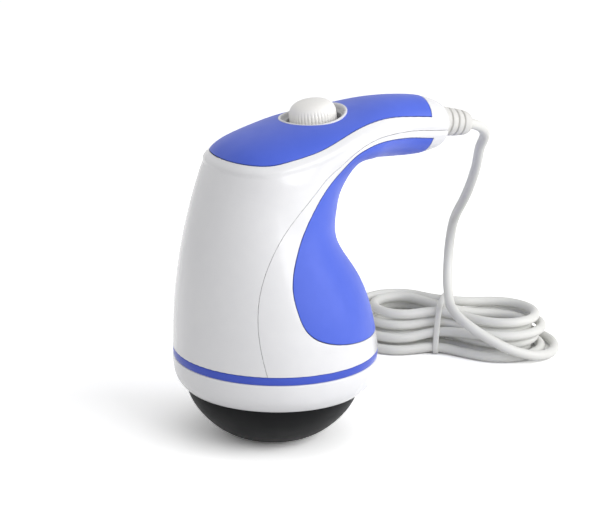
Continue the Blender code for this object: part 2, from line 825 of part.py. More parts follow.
pot_outline = [(knob_shaft + gap, pot_low), (pot_radius, pot_low), (pot_radius, pot_top),
               (knob_shaft + gap, pot_top)]
turned("speed_control", pot_outline, motor_segments, grey_nylon, dial_place, dial_tilt)

post_spots = [(sign * post_along, sign * post_across) for sign in (-1, 1)]
board = gather("control_board", [box_parts((0, 0, board_top - board_thickness / 2),
                                           (board_length, board_width, board_thickness))],
               green_board, dial_place, dial_tilt)
board_holes = cutter(gather("board_holes", copies(
    rod_outline(post_hole, board_top - 2 * board_thickness, board_top + board_thickness),
    screw_sides, post_spots), steel, dial_place, dial_tilt))
combine(board, board_holes)
part_low = board_top - board_thickness - gap
chips = [((-0.013, 0.004), (0.014, 0.012, 0.010)), ((0.002, -0.006), (0.009, 0.006, 0.011))]
each("board_part", [box_parts((x, y, part_low - high / 2), (long, wide, high))
                    for (x, y), (long, wide, high) in chips], black_plastic, dial_place, dial_tilt)
posts = cutter(gather("board_posts", [turned_parts(rod_outline(post_radius, board_top + gap, high),
                                                   boss_sides, spot)
                                      for spot, high in zip(post_spots, post_tops)],
                      white_abs, dial_place, dial_tilt))
post_bores = cutter(gather("post_bores", copies(
    rod_outline(post_hole, board_top - board_thickness, board_top + post_bore_depth),
    screw_sides, post_spots), white_abs, dial_place, dial_tilt))
combine(front_shell, posts, "UNION")
combine(front_shell, post_bores)
screw_under = board_top - board_thickness - gap
each("board_screw", copies(
    screw_outline(board_screw_radius, board_screw_head, screw_under - screw_head_height, screw_under,
                  board_top + board_screw_reach), screw_sides, post_spots), steel, dial_place, dial_tilt)

# Stripe, skirt, base plate and the screws that hold them to the shells
stripe = turned("trim_ring", tube_outline(stripe_inner, stripe_radius, stripe_low, stripe_high),
                ring_segments, blue_abs)
skirt = turned("skirt_ring", skirt_outline, ring_segments, white_abs)
plate_outline = [(plate_lip, plate_low), (plate_radius, plate_low), (plate_radius, plate_high),
                 (stand_radius, plate_high), (stand_radius, stand_high), (stand_inner, stand_high),
                 (stand_inner, plate_high), (boss_radius, plate_high), (boss_radius, boss_high),
                 (bearing_outer + gap, boss_high), (bearing_outer + gap, plate_high),
                 (plate_lip, plate_high)]
base_plate = turned("base_plate", plate_outline, 36, grey_nylon)
screw_spots = around(base_screw_ring, base_screw_angles)
screw_cut = cutter(gather("base_screw_holes", copies(
    rod_outline(base_hole, base_screw_low, base_screw_high + boss_slack), screw_sides, screw_spots), steel))
for piece in (stripe, skirt, base_plate):
    combine(piece, screw_cut)
front_spots = [spot for spot in screw_spots if spot[0] < -base_screw_ring / 2]
rear_spots = [spot for spot in screw_spots if spot[0] >= -base_screw_ring / 2]
for shell, spots, word in ((front_shell, front_spots, "front"), (rear_shell, rear_spots, "rear")):
    bosses = cutter(gather(word + "_bosses", copies(
        rod_outline(base_boss_radius, base_boss_low, base_boss_high), boss_sides, spots), white_abs))
    bores = cutter(gather(word + "_bores", copies(
        rod_outline(base_hole, base_boss_low - boss_slack, base_screw_high + boss_slack),
        screw_sides, spots), white_abs))
    combine(shell, bosses, "UNION")
    combine(shell, bores)
each("base_screw", copies(
    screw_outline(base_screw_radius, base_screw_head, base_screw_low, base_screw_low + base_head_height,
                  base_screw_high), screw_sides, screw_spots), steel)
guide_spots = around(post_ring, guide_angles)
combine(base_plate, cutter(gather("guide_holes", copies(
    rod_outline(guide_hole, plate_low - boss_slack, plate_high + boss_slack), post_sides, guide_spots),
    grey_nylon)))
each("guide_post", copies(
    screw_outline(guide_radius, guide_radius, guide_low, guide_low + guide_chamfer, guide_high),
    post_sides, guide_spots), steel)

# Motor
turned("lower_bearing", tube_outline(bearing_inner, bearing_outer, bearing_low, bearing_high),
       motor_segments, steel)
can_outline = [(can_radius - can_wall, can_low), (can_radius, can_low), (can_radius, can_high),
               (can_step_radius, can_high), (can_step_radius, can_high - can_wall),
               (can_radius - can_wall, can_high - can_wall)]
turned("motor_can", can_outline, motor_segments, steel)
magnets = []
for centre in (0, 180):
    steps = np.linspace(centre - magnet_half_angle, centre + magnet_half_angle, magnet_steps)
    outline = around(magnet_outer, steps) + around(magnet_inner, steps[::-1])
    magnets.append(prism_parts(outline, magnet_low, magnet_high))
each("motor_magnet", magnets, ferrite)
bell_outline = [(upper_inner + bell_lip, end_bell_high - end_bell_wall),
                (upper_outer + gap, end_bell_high - end_bell_wall), (upper_outer + gap, upper_low - gap),
                (upper_inner + bell_floor, upper_low - gap),
                (upper_inner + bell_floor, upper_low - bell_step),
                (can_radius - end_bell_wall, upper_low - bell_step),
                (can_radius - end_bell_wall, end_bell_low),
                (can_radius, end_bell_low), (can_radius, upper_low + bell_crown),
                (upper_outer + end_bell_wall, upper_low + bell_crown),
                (upper_outer + end_bell_wall, end_bell_high), (upper_inner + bell_lip, end_bell_high)]
turned("motor_end_bell", bell_outline, motor_segments, black_plastic)
turned("upper_bearing", tube_outline(upper_inner, upper_outer, upper_low, upper_high),
       motor_segments, steel)
brushes, holders = [], []
for side in (-1, 1):
    middle = side * (brush_in + brush_out) / 2
    centre = (middle, 0, (brush_low + brush_high) / 2)
    brushes.append(box_parts(centre, (brush_out - brush_in, 2 * brush_half, brush_high - brush_low)))
    start = side * (brush_out + holder_gap)
    outline_box = box_parts(((start + side * holder_out) / 2, 0, (brush_low + brush_high) / 2),
                            (holder_out - brush_out - holder_gap, 2 * (brush_half + holder_wall),
                             brush_high - brush_low))
    holders.append(outline_box)
each("carbon_brush", brushes, carbon)
each("brush_holder", holders, brass)

# Rotor: shaft, laminated core, windings, commutator and fan turn together
turned("rotor_shaft", rod_outline(shaft_radius, rotor_low, rotor_high), 20, steel)


def slotted_core():
    # A round core with straight slots for the windings, and a bore for the shaft.
    outline = []
    for k in range(core_slots):
        middle = full_turn * k / core_slots
        half = full_turn / core_slots / 2
        slot = half * 2 * slot_share
        for a in (middle - half + slot, middle, middle + half - slot):
            outline.append((core_radius * math.cos(a), core_radius * math.sin(a)))
        for a in (middle + half - slot, middle + half + slot):
            outline.append((core_root * math.cos(a), core_root * math.sin(a)))
    return outline


core = gather("rotor_core", [prism_parts(slotted_core(), core_low, core_high)], core_steel)
core_bore = rod_outline(sleeve, core_low - boss_slack, core_high + boss_slack)
combine(core, cutter(turned("core_bore", core_bore, 20, steel)))
coil_ends = []
for low in (core_low - gap - winding_length, core_high + gap):
    ring = [(winding_inner, low), (winding_outer - winding_round, low),
            (winding_outer, low + winding_length / 2),
            (winding_outer - winding_round, low + winding_length), (winding_inner, low + winding_length),
            (winding_inner, low)]
    coil_ends.append((ring, low))
winding_parts = []
for ring, low in coil_ends:
    corners, faces = turned_parts(ring[:-1], 24, (0, 0))
    count = 24
    rows = len(ring) - 1
    faces += [((rows - 1) * count + k, (rows - 1) * count + (k + 1) % count, (k + 1) % count, k)
              for k in range(count)]
    winding_parts.append((corners, faces))
each("rotor_winding", winding_parts, copper)
turned("commutator", tube_outline(sleeve, commutator_radius, commutator_low, commutator_high), 24, copper)


fan = turned("cooling_fan", [(sleeve, fan_low), (fan_hub, fan_low), (fan_hub, fan_low + fan_disc),
                             (fan_radius, fan_low + fan_disc + fan_cone),
                             (fan_radius, fan_low + 2 * fan_disc + fan_cone),
                             (fan_hub, fan_low + 2 * fan_disc), (fan_hub, fan_high), (sleeve, fan_high)],
             30, black_plastic)
blades = []
for k in range(fan_blades):
    a = full_turn * k / fan_blades
    c, s = math.cos(a), math.sin(a)
    along, half = (blade_in, fan_radius - blade_in_from_rim), blade_thickness / 2
    outline = [(reach * c + side * s, reach * s - side * c)
               for reach, side in ((along[0], half), (along[1], half),
                                   (along[1], -half), (along[0], -half))]
    blades.append(prism_parts(outline, fan_low + blade_low, fan_high - blade_clear))
combine(fan, cutter(gather("fan_blades", blades, black_plastic)), "UNION")

# Orbit drive: the hub turns, its offset pin carries the head round without turning it
hub_outline = [(0.0, hub_low - hub_floor), (hub_radius, hub_low - hub_floor), (hub_radius, hub_high),
               (sleeve, hub_high), (sleeve, hub_low - gap), (0.0, hub_low - gap)]
hub = turned("eccentric_hub", hub_outline, motor_segments, steel)
pin_outline = rod_outline(pin_radius, pin_low, hub_low - hub_floor + boss_slack)
pin = cutter(turned("crank_pin", pin_outline, 24, steel, (orbit, 0, 0)))
combine(hub, pin, "UNION")
steps = np.linspace(-weight_half_angle, weight_half_angle, weight_steps)
gather("counterweight", [prism_parts(around(weight_outer, steps) + around(weight_inner, steps[::-1]),
                                     weight_low, weight_high)], brass)
orbit_race = turned("orbit_bearing", tube_outline(orbit_bearing_inner, orbit_bearing_outer,
                                                  orbit_bearing_low, orbit_bearing_high), 28, steel,
                    (orbit, 0, 0))

# Carrier for the head, and the head itself, both on the orbiting centre
carrier_outline = [(carrier_bore, carrier_low), (carrier_radius, carrier_low),
                   (carrier_radius, carrier_high), (carrier_boss, carrier_high),
                   (carrier_boss, carrier_boss_high), (carrier_bore, carrier_boss_high)]
carrier = turned("head_carrier", carrier_outline, 36, grey_nylon, (orbit, 0, 0))
slots = cutter(gather("carrier_slots", copies(
    rod_outline(carrier_slot, carrier_low - boss_slack, carrier_high + boss_slack),
    post_sides, guide_spots),
    grey_nylon, (orbit, 0, 0)))
carrier_spots = around(carrier_screw_ring, carrier_screw_angles)
carrier_bores = cutter(gather("carrier_bores", copies(
    rod_outline(carrier_screw_hole, carrier_low - boss_slack, carrier_high + boss_slack),
    screw_sides, carrier_spots), grey_nylon, (orbit, 0, 0)))
combine(carrier, slots)
combine(carrier, carrier_bores)
head = turned("massage_head", dome_outline + dome_inside + [(0.0, dome_inside[-1][1]), (0.0, 0.0)], 44,
              black_plastic, (orbit, 0, 0))
head_bores = cutter(gather("head_bores", copies(
    rod_outline(carrier_screw_hole, carrier_bore_low, carrier_high), screw_sides, carrier_spots),
    steel, (orbit, 0, 0)))
combine(head, head_bores)
hung_low = carrier_high + gap
carrier_screws = each("carrier_screw", copies(
    hung_screw_outline(carrier_screw_radius, carrier_screw_head, carrier_screw_low, hung_low,
                       hung_low + carrier_screw_head_height), screw_sides, carrier_spots),
    steel, (orbit, 0, 0))
for piece in [carrier, head, orbit_race] + carrier_screws:
    settle(piece, Vector((orbit, 0, 0)))

# Strain relief, cord clamp and the leads inside
relief_turn = half_turn / 2 + relief_tilt
relief_way = Vector((math.cos(relief_tilt), 0, -math.sin(relief_tilt)))
turned("strain_relief", relief_outline, relief_segments, soft_pvc, relief_axis_start, relief_turn)
half_clamp = clamp_size[2] / 2
clamp_low = clamp_place.z - half_clamp
clamp_spots = [(clamp_place.x, side * clamp_across) for side in (-1, 1)]
clamp = gather("cord_clamp", [box_parts(tuple(clamp_place), clamp_size)], grey_nylon)
groove = cutter(turned("clamp_groove", rod_outline(clamp_groove, -2 * clamp_size[1], 0.0), post_sides,
                       grey_nylon, relief_axis_start, relief_turn))
clamp_holes = cutter(gather("clamp_holes", copies(
    rod_outline(clamp_hole, clamp_low - boss_slack, clamp_hole_high), screw_sides, clamp_spots), grey_nylon))
clamp_posts = cutter(gather("clamp_posts", copies(
    rod_outline(clamp_post_radius, clamp_post_low, clamp_post_high), boss_sides, clamp_spots), white_abs))
combine(clamp, groove)
combine(clamp, clamp_holes)
combine(front_shell, clamp_posts, "UNION")
combine(front_shell, clamp_holes)
each("clamp_screw", copies(
    screw_outline(clamp_screw_radius, clamp_screw_head, clamp_low - gap - clamp_screw_head_height,
                  clamp_low - gap, clamp_screw_high), screw_sides, clamp_spots), steel)


def board_spot(along, up):
    # A world point from the sloping board's own axes.
    return Vector(place([(along, 0, up)], dial_place, dial_tilt)[0])


relief_inner = relief_outline[0][1] - gap
supply_points = [relief_axis_start + relief_way * relief_inner]
supply_points += [relief_axis_start + relief_way * back for back in supply_bend]
supply_points += [board_spot(*spot) for spot in supply_ends]
tube("supply_lead", supply_points, cord_radius, 2, soft_pvc)
for number, side in enumerate((-1, 1)):
    route = [(x, side * y, z) for x, y, z in motor_lead_route]
    tube("motor_lead_" + str(number + 1), curve_at(route, np.linspace(0, 1, motor_lead_points)),
         motor_lead_radius, 0, red_pvc if side > 0 else carbon)

# The cord: a free lead, a tied hank of one unbroken tube, and a plug
def hank_to_world(points):
    points = np.array(points, float)
    c, s = math.cos(hank_turn), math.sin(hank_turn)
    right, away = points[:, 0] + hank_right, points[:, 1] + hank_away
    return np.stack([right * c - away * s, right * s + away * c, points[:, 2]], -1)


def soft_step(share):
    return (1 - np.cos(half_turn * np.clip(share, 0, 1))) / 2


def hank_offset(turn):
    # How far a loop lies outside the innermost centre line: in, out, in and out again.
    return pitch * np.interp(turn, offset_turn_shares, offset_shares)


def hank_points():
    first = turns_start_share
    turn_marks = np.concatenate([
        first + arc_share * np.arange(arc_points) / arc_points,
        first + arc_share + run_share * np.arange(run_points) / run_points,
        first + half_loop + arc_share * np.arange(arc_points) / arc_points,
        first + half_loop + arc_share + run_share * np.arange(run_points) / run_points])
    marks = np.concatenate([turn_marks + loop for loop in range(math.ceil(turns_end_share))])
    marks = np.append(marks[marks < turns_end_share - 0.5 * arc_share / arc_points], turns_end_share)
    points = []
    for mark in marks:
        offset = float(hank_offset(mark))
        fold, waist = fold_base + offset, waist_base + waist_widening_share * offset
        part = (mark - first) % 1
        if part < arc_share - tiny:
            angle = half_turn * (part / arc_share - 0.5)
            x, y = right_centre + fold * math.cos(angle), fold * math.sin(angle)
        elif half_loop - tiny <= part < half_loop + arc_share - tiny:
            angle = half_turn * ((part - half_loop) / arc_share + 0.5)
            x, y = -left_centre + fold * math.cos(angle), fold * math.sin(angle)
        else:
            back = part < half_loop
            share = (part - arc_share - (0 if back else half_loop)) / run_share
            x = right_centre - share * (right_centre + left_centre) if back else (
                -left_centre + share * (right_centre + left_centre))
            reach = x / right_centre if x > 0 else -x / left_centre
            half = waist + (fold - waist) * soft_step(reach)
            y = half if back else -half
        layer = sum(soft_step((mark - climb) / run_share) for climb in climbs)
        lift = tie_lift * soft_step(1 - abs(x) / tie_reach) if part_is_run(part) else 0.0
        drop = start_height * (1 - np.clip((mark - first) / start_fall_share, 0, 1)) ** 2
        points.append((x, y, cord_floor + layer * layer_step + lift + drop))
    return points


def part_is_run(part):
    return arc_share < part < half_loop or part > half_loop + arc_share


def least_gap(points, radius):
    # The least distance between strands that lie apart along the cord, less one thickness.
    parts = np.linspace(0, 1, gap_parts, endpoint=False)[:, None]
    points = np.array(points)
    fine = np.concatenate([a + (b - a) * parts for a, b in zip(points[:-1], points[1:])])
    run = np.concatenate([[0], np.cumsum(np.linalg.norm(np.diff(fine, axis=0), axis=1))])
    apart = np.linalg.norm(fine[:, None] - fine[None], axis=-1)
    apart[np.abs(run[:, None] - run[None]) < 2 * near_share * radius] = 1
    return apart.min() - 2 * radius


def run_length(points):
    return float(np.linalg.norm(np.diff(points, axis=0), axis=1).sum())


half_loop = arc_share + run_share
tiny = 1e-6
cord_width = 2 * cord_radius
climb_loops = [2, 3 + half_loop, 5]
climbs = [loop + turns_start_share + arc_share for loop in climb_loops]
hank = hank_points()
hank.insert(0, (hank[0][0] - cord_width, hank[0][1], hank[0][2] + cord_width * start_slope_share))
last = np.array(hank[-1])
tail_end = np.array([tail_right - hank_right, last[1] - tail_straight - tail_length, tail_height])
steps = np.linspace(0, 1, tail_points)
start = last + np.array([0, -tail_straight, 0])
tail = [(start[0] + (tail_end[0] - start[0]) * soft_step(t), start[1] + (tail_end[1] - start[1]) * t,
         start[2] + (tail_end[2] - start[2]) * soft_step(t)) for t in steps]
tail.append(tuple(tail_end - np.array([0, tail_straight, 0])))
hank += tail
hank_world = hank_to_world(hank)
print("least gap of the hank to itself, mm:", round(1000 * least_gap(hank_world, cord_radius), 3))
print("length of the hank, m:", round(run_length(hank_world), 3))
tube("cord_hank", hank_world, cord_radius, 1, soft_pvc)
hank_way = hank_world[1] - hank_world[0]
hank_way /= np.linalg.norm(hank_way)
lead_end = hank_world[0] - hank_way * gap
lead = curve_at(lead_route + [tuple(lead_end - hank_way * cord_radius)], np.linspace(0, 1, lead_points))
lead = np.vstack([lead, lead_end])
print("length of the lead, m:", round(run_length(lead), 3))
tube("cord_lead", lead, cord_radius, 2, soft_pvc)

# Tie: the outline that all strands under it share, one thickness deep
crossings = []
for at in (-tie_width / 2, 0.0, tie_width / 2):
    for a, b in zip(hank[:-1], hank[1:]):
        if (a[0] - at) * (b[0] - at) < 0:
            share = (at - a[0]) / (b[0] - a[0])
            crossings.append((a[1] + share * (b[1] - a[1]), a[2] + share * (b[2] - a[2])))
crossings = np.array(crossings)
inner, outer = [], []
for k in range(tie_corners):
    facing = np.array([math.cos(full_turn * k / tie_corners), math.sin(full_turn * k / tie_corners)])
    spot = crossings[np.argmax(crossings @ facing)]
    inner.append(spot + facing * (cord_radius + tie_clear))
    outer.append(spot + facing * (cord_radius + tie_clear + tie_thickness))
corners = [(x, y, z) for x in (-tie_width / 2, tie_width / 2) for ring in (inner, outer) for y, z in ring]
faces = []
for k in range(tie_corners):
    n = (k + 1) % tie_corners
    for a, b in ((0, 1), (1, 3), (3, 2), (2, 0)):
        faces.append((a * tie_corners + k, b * tie_corners + k, b * tie_corners + n, a * tie_corners + n))
store("cord_tie", hank_to_world(corners), faces, soft_pvc)

# Plug: rounded sections that widen from the cord to the pin face
plug_start = hank[-1][1] - gap
corners = []
for along, wide, high in plug_sections:
    for k in range(plug_corners):
        c, s = math.cos(full_turn * k / plug_corners), math.sin(full_turn * k / plug_corners)
        power = plug_power if wide > 2 * cord_radius else 2.0
        stretch = (abs(c) ** power + abs(s) ** power) ** (-1 / power)
        corners.append((tail_end[0] + wide * stretch * c, plug_start - along,
                        tail_height + high * stretch * s))
rows = len(plug_sections)
faces = [tuple(range(plug_corners)), tuple(range((rows - 1) * plug_corners, rows * plug_corners))]
for row in range(rows - 1):
    for k in range(plug_corners):
        n = (k + 1) % plug_corners
        faces.append((row * plug_corners + k, row * plug_corners + n, (row + 1) * plug_corners + n,
                      (row + 1) * plug_corners + k))
store("plug_body", hank_to_world(corners), faces, soft_pvc)
pin_start = plug_start - plug_sections[-1][0] - gap
for number, side in enumerate((-1, 1)):
    x = tail_end[0] + side * pin_across
    ends = hank_to_world([(x, pin_start, tail_height), (x, pin_start - pin_reach, tail_height)])
    tube("plug_pin_" + str(number + 1), ends, pin_radius_out, 3, brass)
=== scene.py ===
# Looks for a hand-held body massager: white casing, blue panels, black domed head, tied cord.
import bpy
import json
import math
import numpy as np
from mathutils import Matrix, Vector
from mathutils.kdtree import KDTree


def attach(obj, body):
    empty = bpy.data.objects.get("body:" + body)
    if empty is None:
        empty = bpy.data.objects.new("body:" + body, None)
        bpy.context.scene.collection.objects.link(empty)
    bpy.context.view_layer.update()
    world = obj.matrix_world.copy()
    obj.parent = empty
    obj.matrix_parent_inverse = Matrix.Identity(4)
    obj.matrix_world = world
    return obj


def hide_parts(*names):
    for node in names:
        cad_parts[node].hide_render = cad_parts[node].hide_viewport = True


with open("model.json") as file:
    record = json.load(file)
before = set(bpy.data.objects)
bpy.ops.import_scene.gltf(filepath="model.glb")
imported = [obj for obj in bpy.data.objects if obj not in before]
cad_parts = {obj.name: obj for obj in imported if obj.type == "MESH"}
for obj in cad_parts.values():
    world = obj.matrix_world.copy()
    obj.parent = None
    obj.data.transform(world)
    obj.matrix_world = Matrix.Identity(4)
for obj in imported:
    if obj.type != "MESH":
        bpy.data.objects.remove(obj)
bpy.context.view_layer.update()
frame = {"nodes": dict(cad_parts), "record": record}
print("stage: frame loaded")

deg = math.pi / 180
turnAll = 2 * math.pi
tiny = 1e-9  # keeps a division by a length away from zero

# In the functions below, s is the dictionary of the piece in hand.


# Colours, nodes and materials
def linear(code):
    # sRGB hex to linear light: c / 12.92 up to 0.04045, else ((c + 0.055) / 1.055) to the power 2.4.
    parts = [int(code[k:k + 2], 16) / 255 for k in (1, 3, 5)]
    return tuple(c / 12.92 if c <= 0.04045 else ((c + 0.055) / 1.055) ** 2.4 for c in parts) + (1.0,)


def addNode(tree, kind, inputs=None, **settings):
    node = tree.nodes.new(kind)
    for key, value in settings.items():
        setattr(node, key, value)
    for key, value in (inputs or {}).items():
        if isinstance(value, bpy.types.NodeSocket):
            tree.links.new(value, node.inputs[key])
        else:
            node.inputs[key].default_value = value
    return node


def newMaterial(name, **sockets):
    made = bpy.data.materials.new(name)
    made.use_nodes = True
    shader = made.node_tree.nodes["Principled BSDF"]
    for key, value in sockets.items():
        shader.inputs[key.replace("_", " ")].default_value = value
    return made, made.node_tree, shader


# What a finish starts from; ABS and PVC both have an IOR near 1.5. Pattern sizes are in mm: the peel is
# drawn coarser than the real one, so that it shows at all.
plainFinish = {"roughness": 0.40, "spread": 0.06, "level": 0.5, "ior": 1.49, "metal": 0.0,
               "coat": 0.0, "coatRoughness": 0.08,
               "driftSize": 8.33, "driftDetail": 3.0, "driftLow": 0.3, "driftHigh": 0.7,
               "peel": 0.03, "peelSize": 1.11, "peelDetail": 2.0, "peelDepth": 0.0004}


def mouldedFinish(name, changes):
    # Colour drifts slightly between two tones, roughness drifts with it, and the gloss has a fine
    # orange peel. A noise scale is one over the pattern's size in metres. A metal keeps the default IOR.
    look = {**plainFinish, **changes}
    made, tree, shader = newMaterial(name, Metallic=look["metal"], Specular_IOR_Level=look["level"],
                                     Coat_Weight=look["coat"], Coat_Roughness=look["coatRoughness"])
    if not look["metal"]:
        shader.inputs["IOR"].default_value = look["ior"]
    place = addNode(tree, "ShaderNodeTexCoord").outputs["Object"]
    drift = addNode(tree, "ShaderNodeTexNoise", {"Vector": place, "Scale": 1000 / look["driftSize"],
                                                 "Detail": look["driftDetail"]})
    tone = addNode(tree, "ShaderNodeMix", {0: drift.outputs[0], 6: linear(look["colour"]),
                                           7: linear(look["shade"])}, data_type="RGBA")
    tree.links.new(tone.outputs[2], shader.inputs["Base Color"])
    wear = addNode(tree, "ShaderNodeMapRange", {"Value": drift.outputs[0], "From Min": look["driftLow"],
                                                "From Max": look["driftHigh"],
                                                "To Min": look["roughness"] - look["spread"] / 2,
                                                "To Max": look["roughness"] + look["spread"] / 2})
    tree.links.new(wear.outputs[0], shader.inputs["Roughness"])
    grain = addNode(tree, "ShaderNodeTexNoise", {"Vector": place, "Scale": 1000 / look["peelSize"],
                                                 "Detail": look["peelDetail"]})
    bump = addNode(tree, "ShaderNodeBump", {"Height": grain.outputs[0], "Strength": look["peel"],
                                            "Distance": look["peelDepth"]})
    tree.links.new(bump.outputs[0], shader.inputs["Normal"])
    return made


# Meshes
otherWay = [0, 3, 2, 1]  # the same four corners, so that a face points the other way


def gridFaces(rows, columns, loopRows=False, loopColumns=False):
    # The corners of each cell of a grid numbered row by row; a looped side runs on to its first line.
    row = np.arange(rows if loopRows else rows - 1)[:, None]
    column = np.arange(columns if loopColumns else columns - 1)[None]
    nextRow, nextColumn = (row + 1) % rows, (column + 1) % columns
    corners = (row * columns + column, row * columns + nextColumn,
               nextRow * columns + nextColumn, nextRow * columns + column)
    return np.stack(np.broadcast_arrays(*corners), -1).reshape(-1, 4)


def meshObject(name, points, faces, material, body, replaces, normals=None):
    mesh = bpy.data.meshes.new(name)
    mesh.from_pydata(np.asarray(points, float).tolist(), [], faces)
    mesh.shade_smooth()
    if normals is not None:
        mesh.normals_split_custom_set_from_vertices(np.asarray(normals, float).tolist())
    mesh.materials.append(material)
    made = bpy.data.objects.new(name, mesh)
    bpy.context.scene.collection.objects.link(made)
    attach(made, body)
    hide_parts(*replaces)
    return made


# Camera: fitted to the stripe, the skirt and the outline
cameraSet = {"place": (-0.614587, -1.064496, 0.479739), "yaw": 30.684, "pitch": 16.332, "roll": 0.93,
             "lens": 122.487, "sensor": 36, "farthest": 20}


def makeCamera(s):
    yaw, pitch, roll = (s[k] * deg for k in ("yaw", "pitch", "roll"))
    ahead = Vector((math.sin(yaw) * math.cos(pitch), math.cos(yaw) * math.cos(pitch), -math.sin(pitch)))
    level = ahead.cross(Vector((0, 0, 1))).normalized()
    upright = level.cross(ahead)
    right = level * math.cos(roll) + upright * math.sin(roll)
    up = upright * math.cos(roll) - level * math.sin(roll)
    data = bpy.data.cameras.new("camera")
    data.lens = s["lens"]
    data.sensor_width = s["sensor"]
    data.sensor_fit = "HORIZONTAL"
    data.clip_end = s["farthest"]
    made = bpy.data.objects.new("camera", data)
    turn = Matrix((right, up, -ahead)).transposed().to_4x4()
    made.matrix_world = Matrix.Translation(s["place"]) @ turn
    bpy.context.scene.collection.objects.link(made)
    bpy.context.scene.camera = made


makeCamera(cameraSet)
print("stage: camera")


# Lines and curves
def curveAt(values, share):
    # Natural cubic through evenly spaced values: one linear system gives the second slopes, and each
    # span blends its two values and their second slopes.
    values = np.array(values, float)
    count = len(values)
    system = np.eye(count) * 4
    system[0, 0] = system[-1, -1] = 1
    wanted = np.zeros_like(values)
    for k in range(1, count - 1):
        system[k, k - 1] = system[k, k + 1] = 1
        wanted[k] = 6 * (values[k - 1] - 2 * values[k] + values[k + 1])
    bend = np.linalg.solve(system, wanted)
    along = np.clip(np.asarray(share, float), 0, 1) * (count - 1)
    span = np.minimum(along.astype(int), count - 2)
    late = along - span
    early = 1 - late
    if values.ndim > 1:
        early, late = early[..., None], late[..., None]
    return (early * values[span] + late * values[span + 1]
            + ((early ** 3 - early) * bend[span] + (late ** 3 - late) * bend[span + 1]) / 6)


def softStep(share):
    # From 0 to 1 along half a cosine wave.
    return (1 - np.cos(math.pi * np.clip(share, 0, 1))) / 2


def evenly(points, count):
    # The same line with points at equal distances along it.
    run = np.concatenate([[0], np.cumsum(np.linalg.norm(np.diff(points, axis=0), axis=1))])
    marks = np.linspace(0, run[-1], count)
    return np.stack([np.interp(marks, run, points[:, k]) for k in range(points.shape[1])], -1)


def eased(points, passes):
    # Each inner point moves to the mean of itself and the middle of its neighbours.
    points = points.copy()
    for _ in range(passes):
        points[1:-1] = points[1:-1] / 2 + (points[:-2] + points[2:]) / 4
    return points


# Cord: lead from the strain relief, hank of six and a half loops, and a tail to the plug. Soft extruded PVC:
# an even, slightly dull white with long soft highlights.
cordSet = {
    "radius": 0.0035, "length": 2.48, "turn": -42, "right": 0.0804, "away": 0.1990,
    "firstTurn": 0.104, "lastTurn": 6.75, "arcShare": 0.292, "runShare": 0.208,
    "pitch": 0.0100, "offsetTurns": (0.25, 2.25, 2.75, 3.75, 4.25, 5.25, 5.75, 6.75),
    "offsetPitches": (2.5, 0.5, 0.5, 1.5, 1.5, 0.5, 0.5, 1.5),
    "fold": 0.0160, "waist": 0.0030, "widening": 1.07, "rightCentre": 0.0420, "leftCentre": 0.0290,
    "floor": 0.0036, "layer": 0.0077, "climbs": ((2, 0), (3, 1), (5, 0)),
    "tieLift": 0.0013, "tieReach": 0.020, "startHeight": 0.0150, "startFall": 0.125, "startSlope": 0.544,
    "tailStraight": 0.007, "tailLength": 0.064, "tailRight": 0.0090, "tailHeight": 0.0070,
    "loopPoints": 1400, "tailPoints": 40, "hankPoints": 1200, "leadPoints": 300, "allPoints": 1500,
    "hankEasing": 12, "allEasing": 10, "roundness": 5,
    "finish": {"colour": "#EAEAE7", "shade": "#E2E2DE", "roughness": 0.42, "spread": 0.08, "peel": 0.05,
               "peelSize": 1.43, "driftSize": 16.7}}
leadRoute = [(0.1426, 0.0000, 0.1881), (0.1496, 0.0007, 0.1863), (0.1582, 0.0044, 0.1820),
             (0.1647, 0.0106, 0.1759), (0.1675, 0.0167, 0.1703), (0.1694, 0.0225, 0.1642),
             (0.1728, 0.0285, 0.1575), (0.1760, 0.0340, 0.1508), (0.1788, 0.0397, 0.1440),
             (0.1812, 0.0455, 0.1371), (0.1834, 0.0513, 0.1302), (0.1854, 0.0573, 0.1234),
             (0.1875, 0.0635, 0.1169), (0.1896, 0.0701, 0.1107), (0.1920, 0.0769, 0.1047),
             (0.1942, 0.0833, 0.0984), (0.1963, 0.0889, 0.0913), (0.1979, 0.0929, 0.0831),
             (0.1987, 0.0955, 0.0742), (0.1985, 0.0959, 0.0649), (0.1969, 0.0939, 0.0560),
             (0.1941, 0.0896, 0.0483), (0.1907, 0.0833, 0.0425), (0.1865, 0.0759, 0.0386),
             (0.1831, 0.0684, 0.0365), (0.1818, 0.0582, 0.0329), (0.1845, 0.0486, 0.0283)]


def hankToWorld(points):
    # Moved away from the middle, then turned about the upright axis to where the hank lies.
    s = cordSet
    cosine, sine = math.cos(s["turn"] * deg), math.sin(s["turn"] * deg)
    right, away = points[:, 0] + s["right"], points[:, 1] + s["away"]
    return np.stack([right * cosine - away * sine, right * sine + away * cosine, points[:, 2]], -1)


